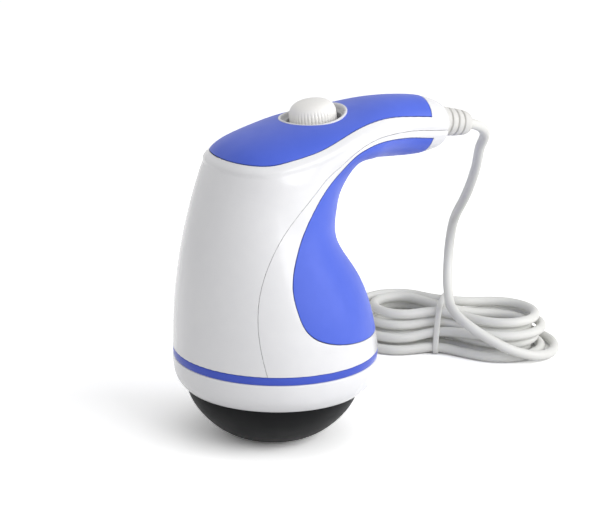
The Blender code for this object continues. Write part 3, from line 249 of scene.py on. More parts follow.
def hankLoops(s):
    # A turn is a half circle at the right, a straight drawn in at the waist, and the same again at the
    # left. Loops wind in and out one pitch a turn, in four layers, and climb along a straight.
    first, arc, run = s["firstTurn"], s["arcShare"], s["runShare"]
    half = arc + run
    mark = np.linspace(first, s["lastTurn"], s["loopPoints"])
    offset = np.interp(mark, s["offsetTurns"], np.array(s["offsetPitches"]) * s["pitch"])
    fold = s["fold"] + offset
    waist = s["waist"] + s["widening"] * offset
    part = (mark - first) % 1
    atRight = part < half
    local = np.where(atRight, part, part - half)
    side = np.where(atRight, 1.0, -1.0)
    centre = np.where(atRight, s["rightCentre"], s["leftCentre"])
    angle = math.pi * (np.minimum(local / arc, 1) - 0.5)
    share = np.clip((local - arc) / run, 0, 1)
    along = side * (centre - (s["rightCentre"] + s["leftCentre"]) * share)
    reach = np.where(along > 0, along / s["rightCentre"], -along / s["leftCentre"])
    wide = waist + (fold - waist) * softStep(reach)
    inArc = local < arc
    x = np.where(inArc, side * (centre + fold * np.cos(angle)), along)
    y = np.where(inArc, side * fold * np.sin(angle), side * wide)
    climbs = [turn + first + half * atLeft + arc for turn, atLeft in s["climbs"]]
    layer = sum(softStep((mark - climb) / run) for climb in climbs)
    lift = np.where(inArc, 0, s["tieLift"] * softStep(1 - np.abs(x) / s["tieReach"]))
    drop = s["startHeight"] * (1 - np.clip((mark - first) / s["startFall"], 0, 1)) ** 2
    return np.stack([x, y, s["floor"] + layer * s["layer"] + lift + drop], -1)


def hankLine(s):
    # The loops, with a short sloping start for the lead to meet and a tail that eases to the plug.
    line = hankLoops(s)
    line = np.vstack([line[0] + np.array([-1, 0, s["startSlope"]]) * 2 * s["radius"], line])
    last = line[-1]
    share = np.linspace(0, 1, s["tailPoints"])
    tail = np.stack([last[0] + (s["tailRight"] - s["right"] - last[0]) * softStep(share),
                     last[1] - s["tailStraight"] - s["tailLength"] * share,
                     last[2] + (s["tailHeight"] - last[2]) * softStep(share)], -1)
    return np.vstack([line, tail, tail[-1] - [0, s["tailStraight"], 0]])


def makeCord(s):
    # A round section carried along the whole line: the lead through its points, hank and tail.
    hank = eased(evenly(hankLine(s), s["hankPoints"]), s["hankEasing"])
    world = hankToWorld(hank)
    lead = curveAt(leadRoute + [tuple(world[0])], np.linspace(0, 1, s["leadPoints"]))
    whole = eased(evenly(np.vstack([lead, world[1:]]), s["allPoints"]), s["allEasing"])
    length = float(np.linalg.norm(np.diff(whole, axis=0), axis=1).sum())
    data = bpy.data.curves.new("cord", "CURVE")
    data.dimensions = "3D"
    data.bevel_depth = s["radius"]
    data.bevel_resolution = s["roundness"]
    data.use_fill_caps = True
    spline = data.splines.new("POLY")
    spline.points.add(len(whole) - 1)
    spline.points.foreach_set("co", np.hstack([whole, np.ones((len(whole), 1))]).astype(np.float32).ravel())
    made = bpy.data.objects.new("cord", data)
    bpy.context.scene.collection.objects.link(made)
    data.materials.append(mouldedFinish("cord_white_pvc", s["finish"]))
    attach(made, "body")
    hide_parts("cord_lead", "cord_hank")
    return made, hank, length


cord, hankPoints, cordLength = makeCord(cordSet)
print("stage: cord", round(cordLength, 3))

# Tie: a soft PVC strip pulled round the waist of the hank, as dull a white as the cord
tieSet = {"width": 0.0042, "depth": 0.0015, "clear": 0.0003, "lowest": 0.0001, "corners": 72, "sides": 16,
          "tailPoints": 60,
          "finish": {"colour": "#ECECE9", "shade": "#E2E2DF", "roughness": 0.38, "peel": 0.04}}


def waistCrossings(line):
    # Across and up at the waist: where a step of the line changes sides, at its share of the step.
    before, after = line[:-1], line[1:]
    crosses = before[:, 0] * after[:, 0] < 0
    before, after = before[crosses], after[crosses]
    share = -before[:, 0] / (after[:, 0] - before[:, 0])
    return before[:, 1:] + (after - before)[:, 1:] * share[:, None]


def makeTie(s):
    # An oval section carried round the waist: each corner lies on the loop that reaches furthest its way.
    crossings = waistCrossings(hankPoints[:-s["tailPoints"]])
    angle = turnAll * np.arange(s["corners"]) / s["corners"]
    facing = np.stack([np.cos(angle), np.sin(angle)], -1)
    spot = crossings[np.argmax(crossings @ facing.T, 0)]
    spot = spot + facing * (cordSet["radius"] + s["clear"] + s["depth"] / 2)
    section = turnAll * np.arange(s["sides"]) / s["sides"]
    across = np.cos(section) * s["width"] / 2
    out = np.sin(section) * s["depth"] / 2
    ring = spot[:, None] + facing[:, None] * out[None, :, None]
    points = np.stack([np.broadcast_to(across, ring.shape[:2]), ring[..., 0],
                       np.maximum(ring[..., 1], s["lowest"])], -1)
    faces = gridFaces(s["corners"], s["sides"], loopRows=True, loopColumns=True)
    return meshObject("cord_tie_strip", hankToWorld(points.reshape(-1, 3)), faces.tolist(),
                      mouldedFinish("tie_white_pvc", s["finish"]), "body", ("cord_tie",))


tie = makeTie(tieSet)
print("stage: tie")

# Body surface, the same formula as the frame's casing. White ABS from a polished tool: a clear gloss
# with wide, smooth reflections.
bodySet = {
    "front": [(-0.0650, 0.0593), (-0.0645, 0.0850), (-0.0625, 0.1150), (-0.0565, 0.1450), (-0.0495, 0.1685),
              (-0.0418, 0.1838), (-0.0305, 0.1927), (-0.0105, 0.1992), (0.0135, 0.2047), (0.0395, 0.2083),
              (0.0650, 0.2120), (0.0900, 0.2120), (0.1080, 0.2090), (0.1195, 0.2040)],
    "rear": [(0.0650, 0.0593), (0.0603, 0.0805), (0.0509, 0.1053), (0.0360, 0.1280), (0.0350, 0.1460),
             (0.0370, 0.1565), (0.0405, 0.1637), (0.0433, 0.1697), (0.0480, 0.1747), (0.0567, 0.1753),
             (0.0665, 0.1747), (0.0850, 0.1733), (0.1020, 0.1734), (0.1150, 0.1762)],
    "width": [0.0650, 0.0638, 0.0565, 0.0485, 0.0447, 0.0436, 0.0422, 0.0415, 0.0403, 0.0365, 0.0295, 0.0212,
              0.0192, 0.0180],
    "frontPower": [2.0, 2.0, 2.0, 2.1, 2.2, 2.4, 2.4, 2.3, 2.2, 2.15, 2.1, 2.1, 2.1, 2.1],
    "rearPower": [2.0, 2.0, 2.0, 2.0, 2.0, 2.0, 2.0, 2.0, 2.0, 2.0, 2.0, 2.05, 2.1, 2.1],
    "seam": [56, 52, 56, 71, 88, 98, 101, 101, 95, 84, 87, 90, 91.5, 92],
    "endRound": 0.0035, "roundStart": 0.975, "holeRadius": 0.0080, "holeLift": 0.0022,
    "fillet": 0.00035, "wall": 0.0016, "seamGap": 0.00022, "panelGap": 0.00038, "rowPower": 1.6,
    "roundRows": 12, "faceRows": 8, "seamPoints": 500, "facePoints": 30, "basePoints": 200,
    "sampleRows": 7, "sampleColumns": 5, "sampleEdge": 3,
    "finish": {"colour": "#F1F1F3", "shade": "#ECECEF", "roughness": 0.24, "peel": 0.02, "coat": 0.35}}
topSet = {"start": 0.3932, "end": 0.902, "noseLength": 0.119, "nosePower": 2.13, "middle": 0.0,
          "angles": [20, 40, 55, 60, 62, 67.6, 59.6, 63.6, 61.6, 52.9, 55.1, 62.5, 63.5, 64],
          "rows": 200, "columns": 100}
gripSet = {"start": 0.0454, "end": 0.919, "noseLength": 0.0767, "nosePower": 3.47, "middle": math.pi,
           "angles": [106.2, 101.5, 104, 92, 80, 73, 70, 72, 79, 87, 82, 76.5, 72, 72],
           "rows": 240, "columns": 100}


def skin(share, angle):
    # Up to 1 the share runs along the body: the front and rear lines give a section's middle and half
    # height, and the angle goes round it at |cos| and |sin| to a power, summed, to minus one over the
    # power. The end rounds in by a quarter circle. From 1 to 2 the share crosses to the cord hole.
    s = bodySet
    share, angle = np.broadcast_arrays(np.asarray(share, float), np.asarray(angle, float))
    run = np.minimum(share, 1)
    front, rear = curveAt(s["front"], run), curveAt(s["rear"], run)
    middle, reach = (front + rear) / 2, (front - rear) / 2
    height = np.linalg.norm(reach, axis=-1)
    way = reach / height[..., None]
    cosine, sine = np.cos(angle), np.sin(angle)
    marks = np.linspace(0, 1, len(s["frontPower"]))
    power = np.where(cosine > 0, np.interp(run, marks, s["frontPower"]),
                     np.interp(run, marks, s["rearPower"]))
    stretch = (np.abs(cosine) ** power + np.abs(sine) ** power) ** (-1 / power)
    ease = np.clip((run - s["roundStart"]) / (1 - s["roundStart"]), 0, 1)
    inset = s["endRound"] * (1 - np.sqrt(1 - ease ** 2))
    blend = np.clip(share - 1, 0, 1)
    high = ((height - inset) * stretch * cosine * (1 - blend)
            + (s["holeLift"] + s["holeRadius"] * cosine) * blend)
    wide = ((curveAt(s["width"], run) - inset) * stretch * sine * (1 - blend)
            + s["holeRadius"] * sine * blend)
    return np.stack([middle[..., 0] + way[..., 0] * high, wide, middle[..., 1] + way[..., 1] * high], -1)


def outward(share, angle, step=0.0005):
    # Unit normal: the way along the surface crossed with the way round it.
    share, angle = np.broadcast_arrays(np.asarray(share, float), np.asarray(angle, float))
    along = skin(share + step, angle) - skin(np.maximum(share - step, 0), angle)
    normal = np.cross(along, skin(share, angle + step) - skin(share, angle - step))
    return normal / np.linalg.norm(normal, axis=-1)[..., None]


def roundRate(share, angle, step=0.002):
    # Metres moved round the surface for each radian.
    return np.linalg.norm(skin(share, angle + step) - skin(share, angle - step), axis=-1) / (2 * step)


def alongRate(share, angle, step=0.002):
    # Metres moved along the surface for each unit of share.
    return np.linalg.norm(skin(share + step, angle) - skin(share - step, angle), axis=-1) / (2 * step)


def panelHalf(s, share, margin):
    # Half angle of a panel, closing in at its rounded first end.
    close = np.clip((share - s["start"]) / s["noseLength"], 0, 1)
    half = curveAt(s["angles"], share) * deg * (1 - (1 - close) ** s["nosePower"]) ** (1 / s["nosePower"])
    return half + margin / roundRate(share, half + s["middle"])


def panelSpan(s, margin):
    # First and last share of a panel, or of its gap, which lies a margin outside it.
    first = s["start"] - margin / float(alongRate(s["start"], s["middle"]))
    return first, s["end"] + margin / float(alongRate(s["end"], s["middle"]))


def panelOutline(s, margin, sidePoints=700, endPoints=60):
    # Share and angle of points round a panel: up one side, across the end and down the other.
    first, last = panelSpan(s, margin)
    share = first + (last - first) * np.linspace(0, 1, sidePoints) ** 2
    half = panelHalf({**s, "start": first}, share, margin)
    half[0] = 0
    across = np.linspace(1, -1, endPoints)[1:-1]
    shares = np.concatenate([share, np.full(len(across), last), share[::-1]])
    angles = np.concatenate([half, half[-1] * across, -half[::-1]]) + s["middle"]
    return shares, angles


# Grid lines next to an edge, in metres from it; together they take up to this share of a row
edgeMarks = np.array((0.0, 0.00006, 0.00014, 0.00024, 0.00036, 0.0006))
edgeShare = 0.45
firstShare = 0.003  # nearest to the base that a rate along the body is taken


def crossRow(low, high, share, count):
    # Angles across each row: close together at both edges, even in between.
    width = (high - low)[:, None]
    left = edgeMarks / roundRate(share, low)[:, None]
    right = edgeMarks / roundRate(share, high)[:, None]
    room = np.minimum(1, edgeShare * width / np.maximum(np.maximum(left[:, -1:], right[:, -1:]), tiny))
    left, right = left * room, right * room
    inner = np.linspace(0, 1, count)[1:-1]
    first, last = low[:, None] + left, high[:, None] - right[:, ::-1]
    middle = first[:, -1:] * (1 - inner) + last[:, :1] * inner
    return np.concatenate([first, middle, last], 1)


def rowShares(first, last, count, angle):
    # Shares along the body: close together after the first edge, even up to the last.
    start = first + edgeMarks / float(alongRate(max(first, firstShare), angle))
    inner = np.linspace(0, 1, count)[1:-1]
    return np.concatenate([start, start[-1] * (1 - inner) + last * inner, [last]])


def nearest(lines, spots):
    # Distance to the nearest point of the lines, and the way there.
    tree = KDTree(len(lines))
    for k, spot in enumerate(lines):
        tree.insert(spot, k)
    tree.balance()
    found = [tree.find(spot) for spot in spots]
    return np.array([f[2] for f in found]), np.array([f[0] for f in found]) - spots


def awayInSurface(way, normal, shortest=1e-6):
    # Away from the nearest point of a line: the way there laid into the surface, turned back, length 1.
    way = way - normal * (way * normal).sum(-1)[:, None]
    return -way / np.maximum(np.linalg.norm(way, axis=-1)[:, None], shortest)


# Soft forms of the casing: a rolled rim round the nose of the top panel, a groove along the seam
formSet = {"rimReach": 0.0085, "rimPeak": 0.0055, "rimHeight": 0.0010, "rimFade": (0.60, 0.72),
           "grooveReach": 0.0030, "grooveDepth": 0.0005, "grooveFade": (0.52, 0.66), "faceFade": (1.0, 1.5),
           "seamPoints": 500}


def seamAt(share):
    # Angle of the seam, from the front, on either side.
    return curveAt(bodySet["seam"], np.minimum(share, 1)) * deg


def casingForm(share, spot, normal):
    # Height added along the normal, and the lean this gives the normal: half a cosine wave up to the
    # rim's peak and down again, less one down into the groove. The lean is the wave's slope.
    s = formSet
    gap, way = nearest(skin(*panelOutline(topSet, 0.0)), spot)
    fall = s["rimReach"] - s["rimPeak"]
    far = np.clip((s["rimReach"] - gap) / fall, 0, 1)
    near = np.clip(gap / s["rimPeak"], 0, 1)
    fade = softStep((s["rimFade"][1] - share) / (s["rimFade"][1] - s["rimFade"][0]))
    height = s["rimHeight"] * fade * softStep(far) * softStep(near)
    slope = s["rimHeight"] * fade * math.pi / 2 * (np.sin(math.pi * near) / s["rimPeak"] * (far >= 1)
                                                   - np.sin(math.pi * far) / fall * (far < 1))
    lean = -slope[:, None] * awayInSurface(way, normal)
    mark = np.linspace(0, 1, s["seamPoints"])
    gap, way = nearest(np.concatenate([skin(mark, side * seamAt(mark)) for side in (-1, 1)]), spot)
    near = np.clip(gap / s["grooveReach"], 0, 1)
    fade = softStep((np.minimum(share, 1) - s["grooveFade"][0]) / (s["grooveFade"][1] - s["grooveFade"][0]))
    fade = fade * softStep((s["faceFade"][1] - share) / (s["faceFade"][1] - s["faceFade"][0]))
    height = height - s["grooveDepth"] * fade * (1 - softStep(near))
    slope = s["grooveDepth"] * fade * math.pi / 2 * np.sin(math.pi * near) / s["grooveReach"]
    return height, lean - slope[:, None] * awayInSurface(way, normal)


def roundedGrid(share, angle, lines, proud, shaped, touching=1e-7, least=0.5):
    # Points of the surface, dropped along a quarter circle near the border lines, with normals that
    # turn to match. On a border itself there is no way out, so its plain normal is kept.
    radius = bodySet["fillet"]
    spot, normal = skin(share, angle).reshape(-1, 3), outward(share, angle).reshape(-1, 3)
    gap, way = nearest(lines, spot)
    way -= normal * (way * normal).sum(-1)[:, None]
    size = np.linalg.norm(way, axis=-1)
    out = np.where((size > touching)[:, None], way / np.maximum(size, tiny)[:, None], 0)
    lean = np.clip((radius - gap) / radius, 0, 1)
    upright = np.sqrt(1 - lean ** 2)
    form, tilt = casingForm(share.ravel(), spot, normal) if shaped else (0.0, 0.0)
    points = spot + normal * (proud - radius * (1 - upright) + form)[:, None]
    mixed = normal * upright[:, None] + out * lean[:, None] + tilt
    mixed = np.where((np.linalg.norm(mixed, axis=-1) > least)[:, None], mixed, normal)
    normals = mixed / np.linalg.norm(mixed, axis=-1)[:, None]
    return points, normals, gridFaces(*share.shape)[:, otherWay]


def wallStrip(line, border, inner, proud, shaped, voters=40):
    # A strip from the foot of the rounding down into the gap. It faces away from the piece, and places
    # along the line vote, by the nearest inner point, on which side the piece lies.
    normal = outward(*border)
    side = np.cross(np.gradient(line, axis=0), normal)
    side /= np.maximum(np.linalg.norm(side, axis=-1), tiny)[:, None]
    vote = 0
    for k in range(0, len(line), max(1, len(line) // voters)):
        closest = inner[np.argmin(((inner - line[k]) ** 2).sum(-1))]
        vote += np.sign(side[k] @ (closest - line[k]))
    side *= -np.sign(vote) if vote else 1
    form = casingForm(border[0], line, normal)[0][:, None] if shaped else 0.0
    top = line + normal * (proud - bodySet["fillet"] + form)
    low = line - normal * bodySet["wall"]
    faces = gridFaces(2, len(line)) if vote > 0 else gridFaces(2, len(line))[:, otherWay]
    return np.concatenate([top, low]), np.concatenate([side, side]), faces


def openHole(points, faces, hole):
    # Faces that reach inside the hole go; points just outside it move straight out to its edge, in place.
    way = np.array([-math.sin(hole["slope"] * deg), 0, math.cos(hole["slope"] * deg)])
    offset = points - hole["place"]
    flat = offset - (offset @ way)[:, None] * way
    gap = np.linalg.norm(flat, axis=1)
    near = (gap >= hole["inner"]) & (gap < hole["edge"])
    points[near] += flat[near] * (hole["edge"] / gap[near] - 1)[:, None]
    return faces[(gap[faces] >= hole["inner"]).all(1)]


def shellPiece(name, grids, borders, proud, material, node, hole=None):
    # Grids of the surface, rounded over near the borders, with a wall down from each border. Only the
    # casing, which isn't proud, takes the soft forms. A few inner points tell each wall which way it faces.
    s = bodySet
    shaped = proud == 0.0
    edges = [skin(*border) for border in borders]
    lines = np.concatenate(edges)
    across = slice(s["sampleEdge"], -s["sampleEdge"], s["sampleColumns"])
    inner = np.concatenate([skin(*grid)[::s["sampleRows"], across].reshape(-1, 3) for grid in grids])
    parts = [roundedGrid(*grid, lines, proud, shaped) for grid in grids]
    parts += [wallStrip(line, border, inner, proud, shaped) for line, border in zip(edges, borders)]
    starts = np.cumsum([0] + [len(part[0]) for part in parts[:-1]])
    points = np.concatenate([part[0] for part in parts])
    normals = np.concatenate([part[1] for part in parts])
    faces = np.concatenate([part[2] + start for part, start in zip(parts, starts)])
    if hole:
        faces = openHole(points, faces, hole)
    return meshObject(name, points, faces.tolist(), material, "body", (node,), normals)


def shellGrids(panel, low, high, rows, columns):
    # Bands of rows: before the panel, beside it on both sides, and after it to the cord hole.
    s = bodySet
    first, last = panelSpan(panel, s["panelGap"])
    before = rowShares(0.0, first, rows[0], panel["middle"])
    beside = first + (last - first) * np.linspace(0, 1, rows[1]) ** s["rowPower"]
    half = panelHalf({**panel, "start": first}, beside, s["panelGap"])
    half[0] = 0
    rounding = np.sin(np.linspace(0, 1, s["roundRows"])[1:] * math.pi / 2)
    after = np.concatenate([rowShares(last, s["roundStart"], rows[2], panel["middle"]),
                            s["roundStart"] + (1 - s["roundStart"]) * rounding,
                            1 + np.linspace(0, 1, s["faceRows"])[1:]])
    bands = [(before, crossRow(low(before), high(before), before, 2 * columns)),
             (beside, crossRow(low(beside), panel["middle"] - half, beside, columns)),
             (beside, crossRow(panel["middle"] + half, high(beside), beside, columns)),
             (after, crossRow(low(after), high(after), np.minimum(after, 1), 2 * columns))]
    return [tuple(np.broadcast_arrays(share[:, None], angles)) for share, angles in bands]


def seamSlack(share):
    # Half the gap along the seam, as an angle.
    return bodySet["seamGap"] / 2 / roundRate(np.minimum(share, 1), seamAt(share))


# The edges of the casing's halves at the seam, on either side, as angles
def frontLow(share):
    return -frontHigh(share)


def frontHigh(share):
    return seamAt(share) - seamSlack(share)


def rearLow(share):
    return seamAt(share) + seamSlack(share)


def rearHigh(share):
    return turnAll - seamAt(share) - seamSlack(share)


# The casing's halves: the panel let into each, its edges, and how fine its grid is
halfSets = ({"name": "casing_front", "node": "front_shell", "panel": topSet,
             "low": frontLow, "high": frontHigh, "base": (-seamAt(0.0), seamAt(0.0)),
             "rows": (110, 180, 24), "columns": 44},
            {"name": "casing_rear", "node": "rear_shell", "panel": gripSet,
             "low": rearLow, "high": rearHigh, "base": (seamAt(0.0), turnAll - seamAt(0.0)),
             "rows": (24, 230, 20), "columns": 30})
casingWhite = mouldedFinish("white_gloss_abs", bodySet["finish"])


def makeCasingHalf(s):
    # Along the seam on both sides, round the panel's gap and along the base runs a border with a wall.
    basePoints = bodySet["basePoints"]
    shares = np.concatenate([np.linspace(0, 1, bodySet["seamPoints"]),
                             np.linspace(1, 2, bodySet["facePoints"])[1:]])
    borders = [(shares, s["low"](shares)), (shares, s["high"](shares)),
               panelOutline(s["panel"], bodySet["panelGap"]),
               (np.zeros(basePoints), np.linspace(*s["base"], basePoints))]
    grids = shellGrids(s["panel"], s["low"], s["high"], s["rows"], s["columns"])
    shellPiece(s["name"], grids, borders, 0.0, casingWhite, s["node"])


# Blue ABS, dyed through, with a soft gloss: wide, pale highlights on a deep blue
panelSet = {"proud": 0.0001, "endBand": 0.01, "endClear": 0.011, "endRows": 12,
            "finish": {"colour": "#4F6ADE", "shade": "#4B66D8", "roughness": 0.42, "spread": 0.04,
                       "peel": 0.015, "level": 0.35}}
dialAxis = {"place": (0.0245, 0, 0.2057), "slope": 9.3}
dialHole = {**dialAxis, "inner": 0.0196, "edge": 0.0211}
panelBlue = mouldedFinish("blue_gloss_abs", panelSet["finish"])


def makePanel(name, node, panel, hole=None):
    # One grid over the whole panel, with its rows drawn together at the square last end.
    s = panelSet
    marks = np.linspace(0, 1, panel["rows"]) ** bodySet["rowPower"]
    share = panel["start"] + (panel["end"] - panel["start"]) * marks
    tight = np.linspace(0, 1, s["endRows"])[1:] ** 2 * s["endBand"]
    share = np.sort(np.concatenate([share[share < panel["end"] - s["endClear"]], panel["end"] - tight,
                                    [panel["end"]]]))
    half = panelHalf(panel, share, 0.0)
    half[0] = 0
    angles = crossRow(panel["middle"] - half, panel["middle"] + half, share, panel["columns"])
    grid = tuple(np.broadcast_arrays(share[:, None], angles))
    shellPiece(name, [grid], [panelOutline(panel, 0.0)], s["proud"], panelBlue, node, hole)


for halfSet in halfSets:
    makeCasingHalf(halfSet)
makePanel("panel_top", "top_panel", topSet, dialHole)
makePanel("panel_grip", "grip_panel", gripSet)
print("stage: casing")


# Turned pieces
def turnedPiece(name, outline, segments, material, body, node, origin=(0, 0, 0), tilt=0.0, sag=None,
                ripple=None, pole=None):
    # Rows of (radius, height) turned about Z, tilted about Y and moved to the origin. A pole is the row,
    # first or last, whose small ring is closed with a fan from its middle.
    outline = np.array(outline, float)
    angle = turnAll * np.arange(segments) / segments
    radius = np.repeat(outline[:, :1], segments, 1)
    height = np.repeat(outline[:, 1:2], segments, 1)
    if ripple is not None:
        radius = radius + ripple(outline, angle)
    x, y = radius * np.cos(angle), radius * np.sin(angle)
    if sag is not None:
        height = height - sag(outline)[:, None] * y ** 2
    cosine, sine = math.cos(tilt), math.sin(tilt)
    points = np.stack([x * cosine + height * sine + origin[0], y + origin[1],
                       height * cosine - x * sine + origin[2]], -1)
    faces = gridFaces(len(outline), segments, loopColumns=True).tolist()
    flat = points.reshape(-1, 3)
    if pole is not None:
        ring = (np.arange(segments) + (pole % len(outline)) * segments).tolist()
        ring = ring[::-1] if pole == 0 else ring
        faces += [(here, after, len(flat)) for here, after in zip(ring, ring[1:] + ring[:1])]
        flat = np.vstack([flat, points[pole].mean(0)])
    return meshObject(name, flat, faces, material, body, (node,))


def rounded(corners, radius, steps=4, most=0.45):
    # Swaps each inner corner of an outline for a short curve, quadratic between its two cut points,
    # which take at most a share of each side.
    corners = np.array(corners, float)
    out = [corners[0]]
    for before, here, after in zip(corners[:-2], corners[1:-1], corners[2:]):
        back, ahead = before - here, after - here
        backLength, aheadLength = np.linalg.norm(back), np.linalg.norm(ahead)
        cut = min(radius, backLength * most, aheadLength * most)
        start, end = here + back / backLength * cut, here + ahead / aheadLength * cut
        for share in np.linspace(0, 1, steps + 1):
            out.append((1 - share) ** 2 * start + 2 * share * (1 - share) * here + share * share * end)
    out.append(corners[-1])
    return np.array(out)


# Stripe: blue ABS, glossier and deeper than the panels
stripeSet = {"outline": [(0.0600, 0.0541), (0.06485, 0.0541), (0.0650, 0.0565), (0.06485, 0.0590),
                         (0.0600, 0.0590)], "fillet": 0.0004, "segments": 256,
             "finish": {"colour": "#495FCF", "shade": "#445AC8", "roughness": 0.30, "peel": 0.015,
                        "level": 0.25}}
turnedPiece("stripe", rounded(stripeSet["outline"], stripeSet["fillet"]), stripeSet["segments"],
            mouldedFinish("blue_gloss_stripe", stripeSet["finish"]), "body", "trim_ring")

# Skirt: moulded like the casing. Its outer face runs down the profile, then in and up inside.
skirtSet = {"top": [(0.0600, 0.0538), (0.0646, 0.0538), (0.0649, 0.0536)],
            "profile": [(0.0650, 0.0538), (0.0649, 0.0490), (0.0642, 0.0440), (0.0628, 0.0400),
                        (0.0606, 0.0368), (0.0582, 0.0345)],
            "inside": [(0.0572, 0.0343), (0.0570, 0.0350), (0.0575, 0.0385), (0.0600, 0.0430),
                       (0.0612, 0.0490)], "fillet": 0.0005, "rows": 40, "segments": 256}
skirtOuter = curveAt(skirtSet["profile"], np.linspace(0, 1, skirtSet["rows"]))
skirtInner = rounded([skirtOuter[-1], *skirtSet["inside"]], skirtSet["fillet"])
skirtOutline = np.vstack([skirtSet["top"], skirtOuter[1:], skirtInner])
turnedPiece("skirt", skirtOutline[::-1], skirtSet["segments"], casingWhite, "body", "skirt_ring")

# Head: black ABS from a fine sparked tool, so nearly matt, with a faint grain
domeSet = {"profile": [(0.0080, 0.0), (0.0150, 0.00035), (0.0195, 0.00075), (0.0240, 0.00165),
                       (0.0292, 0.0035), (0.0349, 0.0066), (0.0406, 0.0109), (0.0456, 0.0159),
                       (0.0496, 0.0209), (0.0525, 0.0258), (0.0543, 0.0305), (0.0549, 0.0355),
                       (0.0549, 0.0405)],
           "pole": (0.0001, 0.0), "lip": (0.0524, 0.0405), "rows": 90, "segments": 256,
           "origin": (-0.0015, 0, 0),
           "finish": {"colour": "#0A0B0D", "shade": "#0D0E10", "roughness": 0.50, "spread": 0.08,
                      "peel": 0.12, "peelSize": 0.714, "driftSize": 12.5, "level": 0.12}}
domeFace = curveAt(domeSet["profile"], np.linspace(0, 1, domeSet["rows"]))
domeOutline = np.vstack([domeSet["pole"], domeFace, domeSet["lip"]])
turnedPiece("dome", domeOutline, domeSet["segments"], mouldedFinish("black_satin_abs", domeSet["finish"]),
            "head", "massage_head", domeSet["origin"], pole=0)
print("stage: base")

# Dial seat: silver-grey ABS with a smooth gloss, whose outer part follows the fall of the panel; painted
# shade darkens its well
seatSet = {"outline": [(0.0206, -0.0014), (0.0216, -0.0003), (0.0218, 0.0006), (0.0214, 0.0011),
                       (0.0206, 0.0011), (0.0201, 0.0004), (0.0196, -0.0022), (0.0190, -0.0034),
                       (0.0182, -0.0036), (0.0178, -0.0031), (0.0174, -0.0033), (0.0170, -0.0046),
                       (0.0162, -0.0061), (0.0100, -0.0063)], "fillet": 0.0004, "segments": 160,
           "drape": 4.4, "drapeStart": 0.0160, "drapeWidth": 0.0040,
           # The well's colour is painted shade: it darkens the seat from the outer radius in to the inner
           # one.
           "wellPaintedShade": "#7C7C80", "paintedShadeInner": 0.0172, "paintedShadeOuter": 0.0202,
           "finish": {"colour": "#E9E9EB", "shade": "#E1E1E4", "roughness": 0.26, "spread": 0.05,
                      "peel": 0.02}}


def makeSeatPaintedShade(s):
    # Painted shade: bright on the rim, darker down in the well where the knob shades it, mixed by the
    # distance from the middle of the dial.
    made = mouldedFinish("silver_grey_abs_painted_shade", s["finish"])
    tree = made.node_tree
    shader = tree.nodes["Principled BSDF"]
    bright = shader.inputs["Base Color"].links[0].from_socket
    place = addNode(tree, "ShaderNodeTexCoord").outputs["Object"]
    reach = addNode(tree, "ShaderNodeVectorMath", {0: place, 1: dialAxis["place"]}, operation="DISTANCE")
    share = addNode(tree, "ShaderNodeMapRange", {"Value": reach.outputs["Value"], "From Min": s["paintedShadeInner"],
                                                 "From Max": s["paintedShadeOuter"]})
    tone = addNode(tree, "ShaderNodeMix", {0: share.outputs[0], 6: linear(s["wellPaintedShade"]), 7: bright},
                   data_type="RGBA")
    tree.links.new(tone.outputs[2], shader.inputs["Base Color"])
    return made


def seatDrape(outline):
    # How much a row bends with the panel: nothing in the well, rising to all of it under the rim.
    share = (outline[:, 0] - seatSet["drapeStart"]) / seatSet["drapeWidth"]
    return seatSet["drape"] * np.clip(share, 0, 1)


turnedPiece("dial_seat", rounded(seatSet["outline"], seatSet["fillet"]), seatSet["segments"],
            makeSeatPaintedShade(seatSet), "body", "dial_bezel", dialAxis["place"],
            -dialAxis["slope"] * deg, seatDrape)

# Knob: white ABS with a satin face, so its highlights are soft and its ribs show by their shade
knobSet = {"profile": [(0.0141, -0.0050), (0.0148, -0.0044), (0.0148, 0.0002), (0.0146, 0.0022),
                       (0.0139, 0.0042), (0.0125, 0.0061), (0.0101, 0.0077), (0.0068, 0.0087),
                       (0.0034, 0.0092), (0.0001, 0.0093)],
           "rows": 70, "ribs": 42, "pointsPerRib": 12, "ribDepth": 0.0006, "ribTop": 0.0058,
           "ribFade": 0.0040, "ribInner": 0.010, "ribPower": 0.6,
           "finish": {"colour": "#FBFAF7", "shade": "#F7F5F2", "roughness": 0.40, "peel": 0.04}}


def knobRibs(outline, angle):
    # Rounded ribs on the flank: between two ribs the radius drops by one less |cos| to a power. They
    # fade out towards the top.
    s = knobSet
    share = np.clip((s["ribTop"] - outline[:, 1]) / s["ribFade"], 0, 1) * (outline[:, 0] > s["ribInner"])
    wave = 1 - np.abs(np.cos(s["ribs"] * angle / 2)) ** s["ribPower"]
    return -s["ribDepth"] * share[:, None] * wave[None]


turnedPiece("knob", curveAt(knobSet["profile"], np.linspace(0, 1, knobSet["rows"])),
            knobSet["ribs"] * knobSet["pointsPerRib"], mouldedFinish("knob_satin_abs", knobSet["finish"]),
            "dial", "dial_knob", dialAxis["place"], -dialAxis["slope"] * deg,
            ripple=knobRibs, pole=-1)
print("stage: dial")

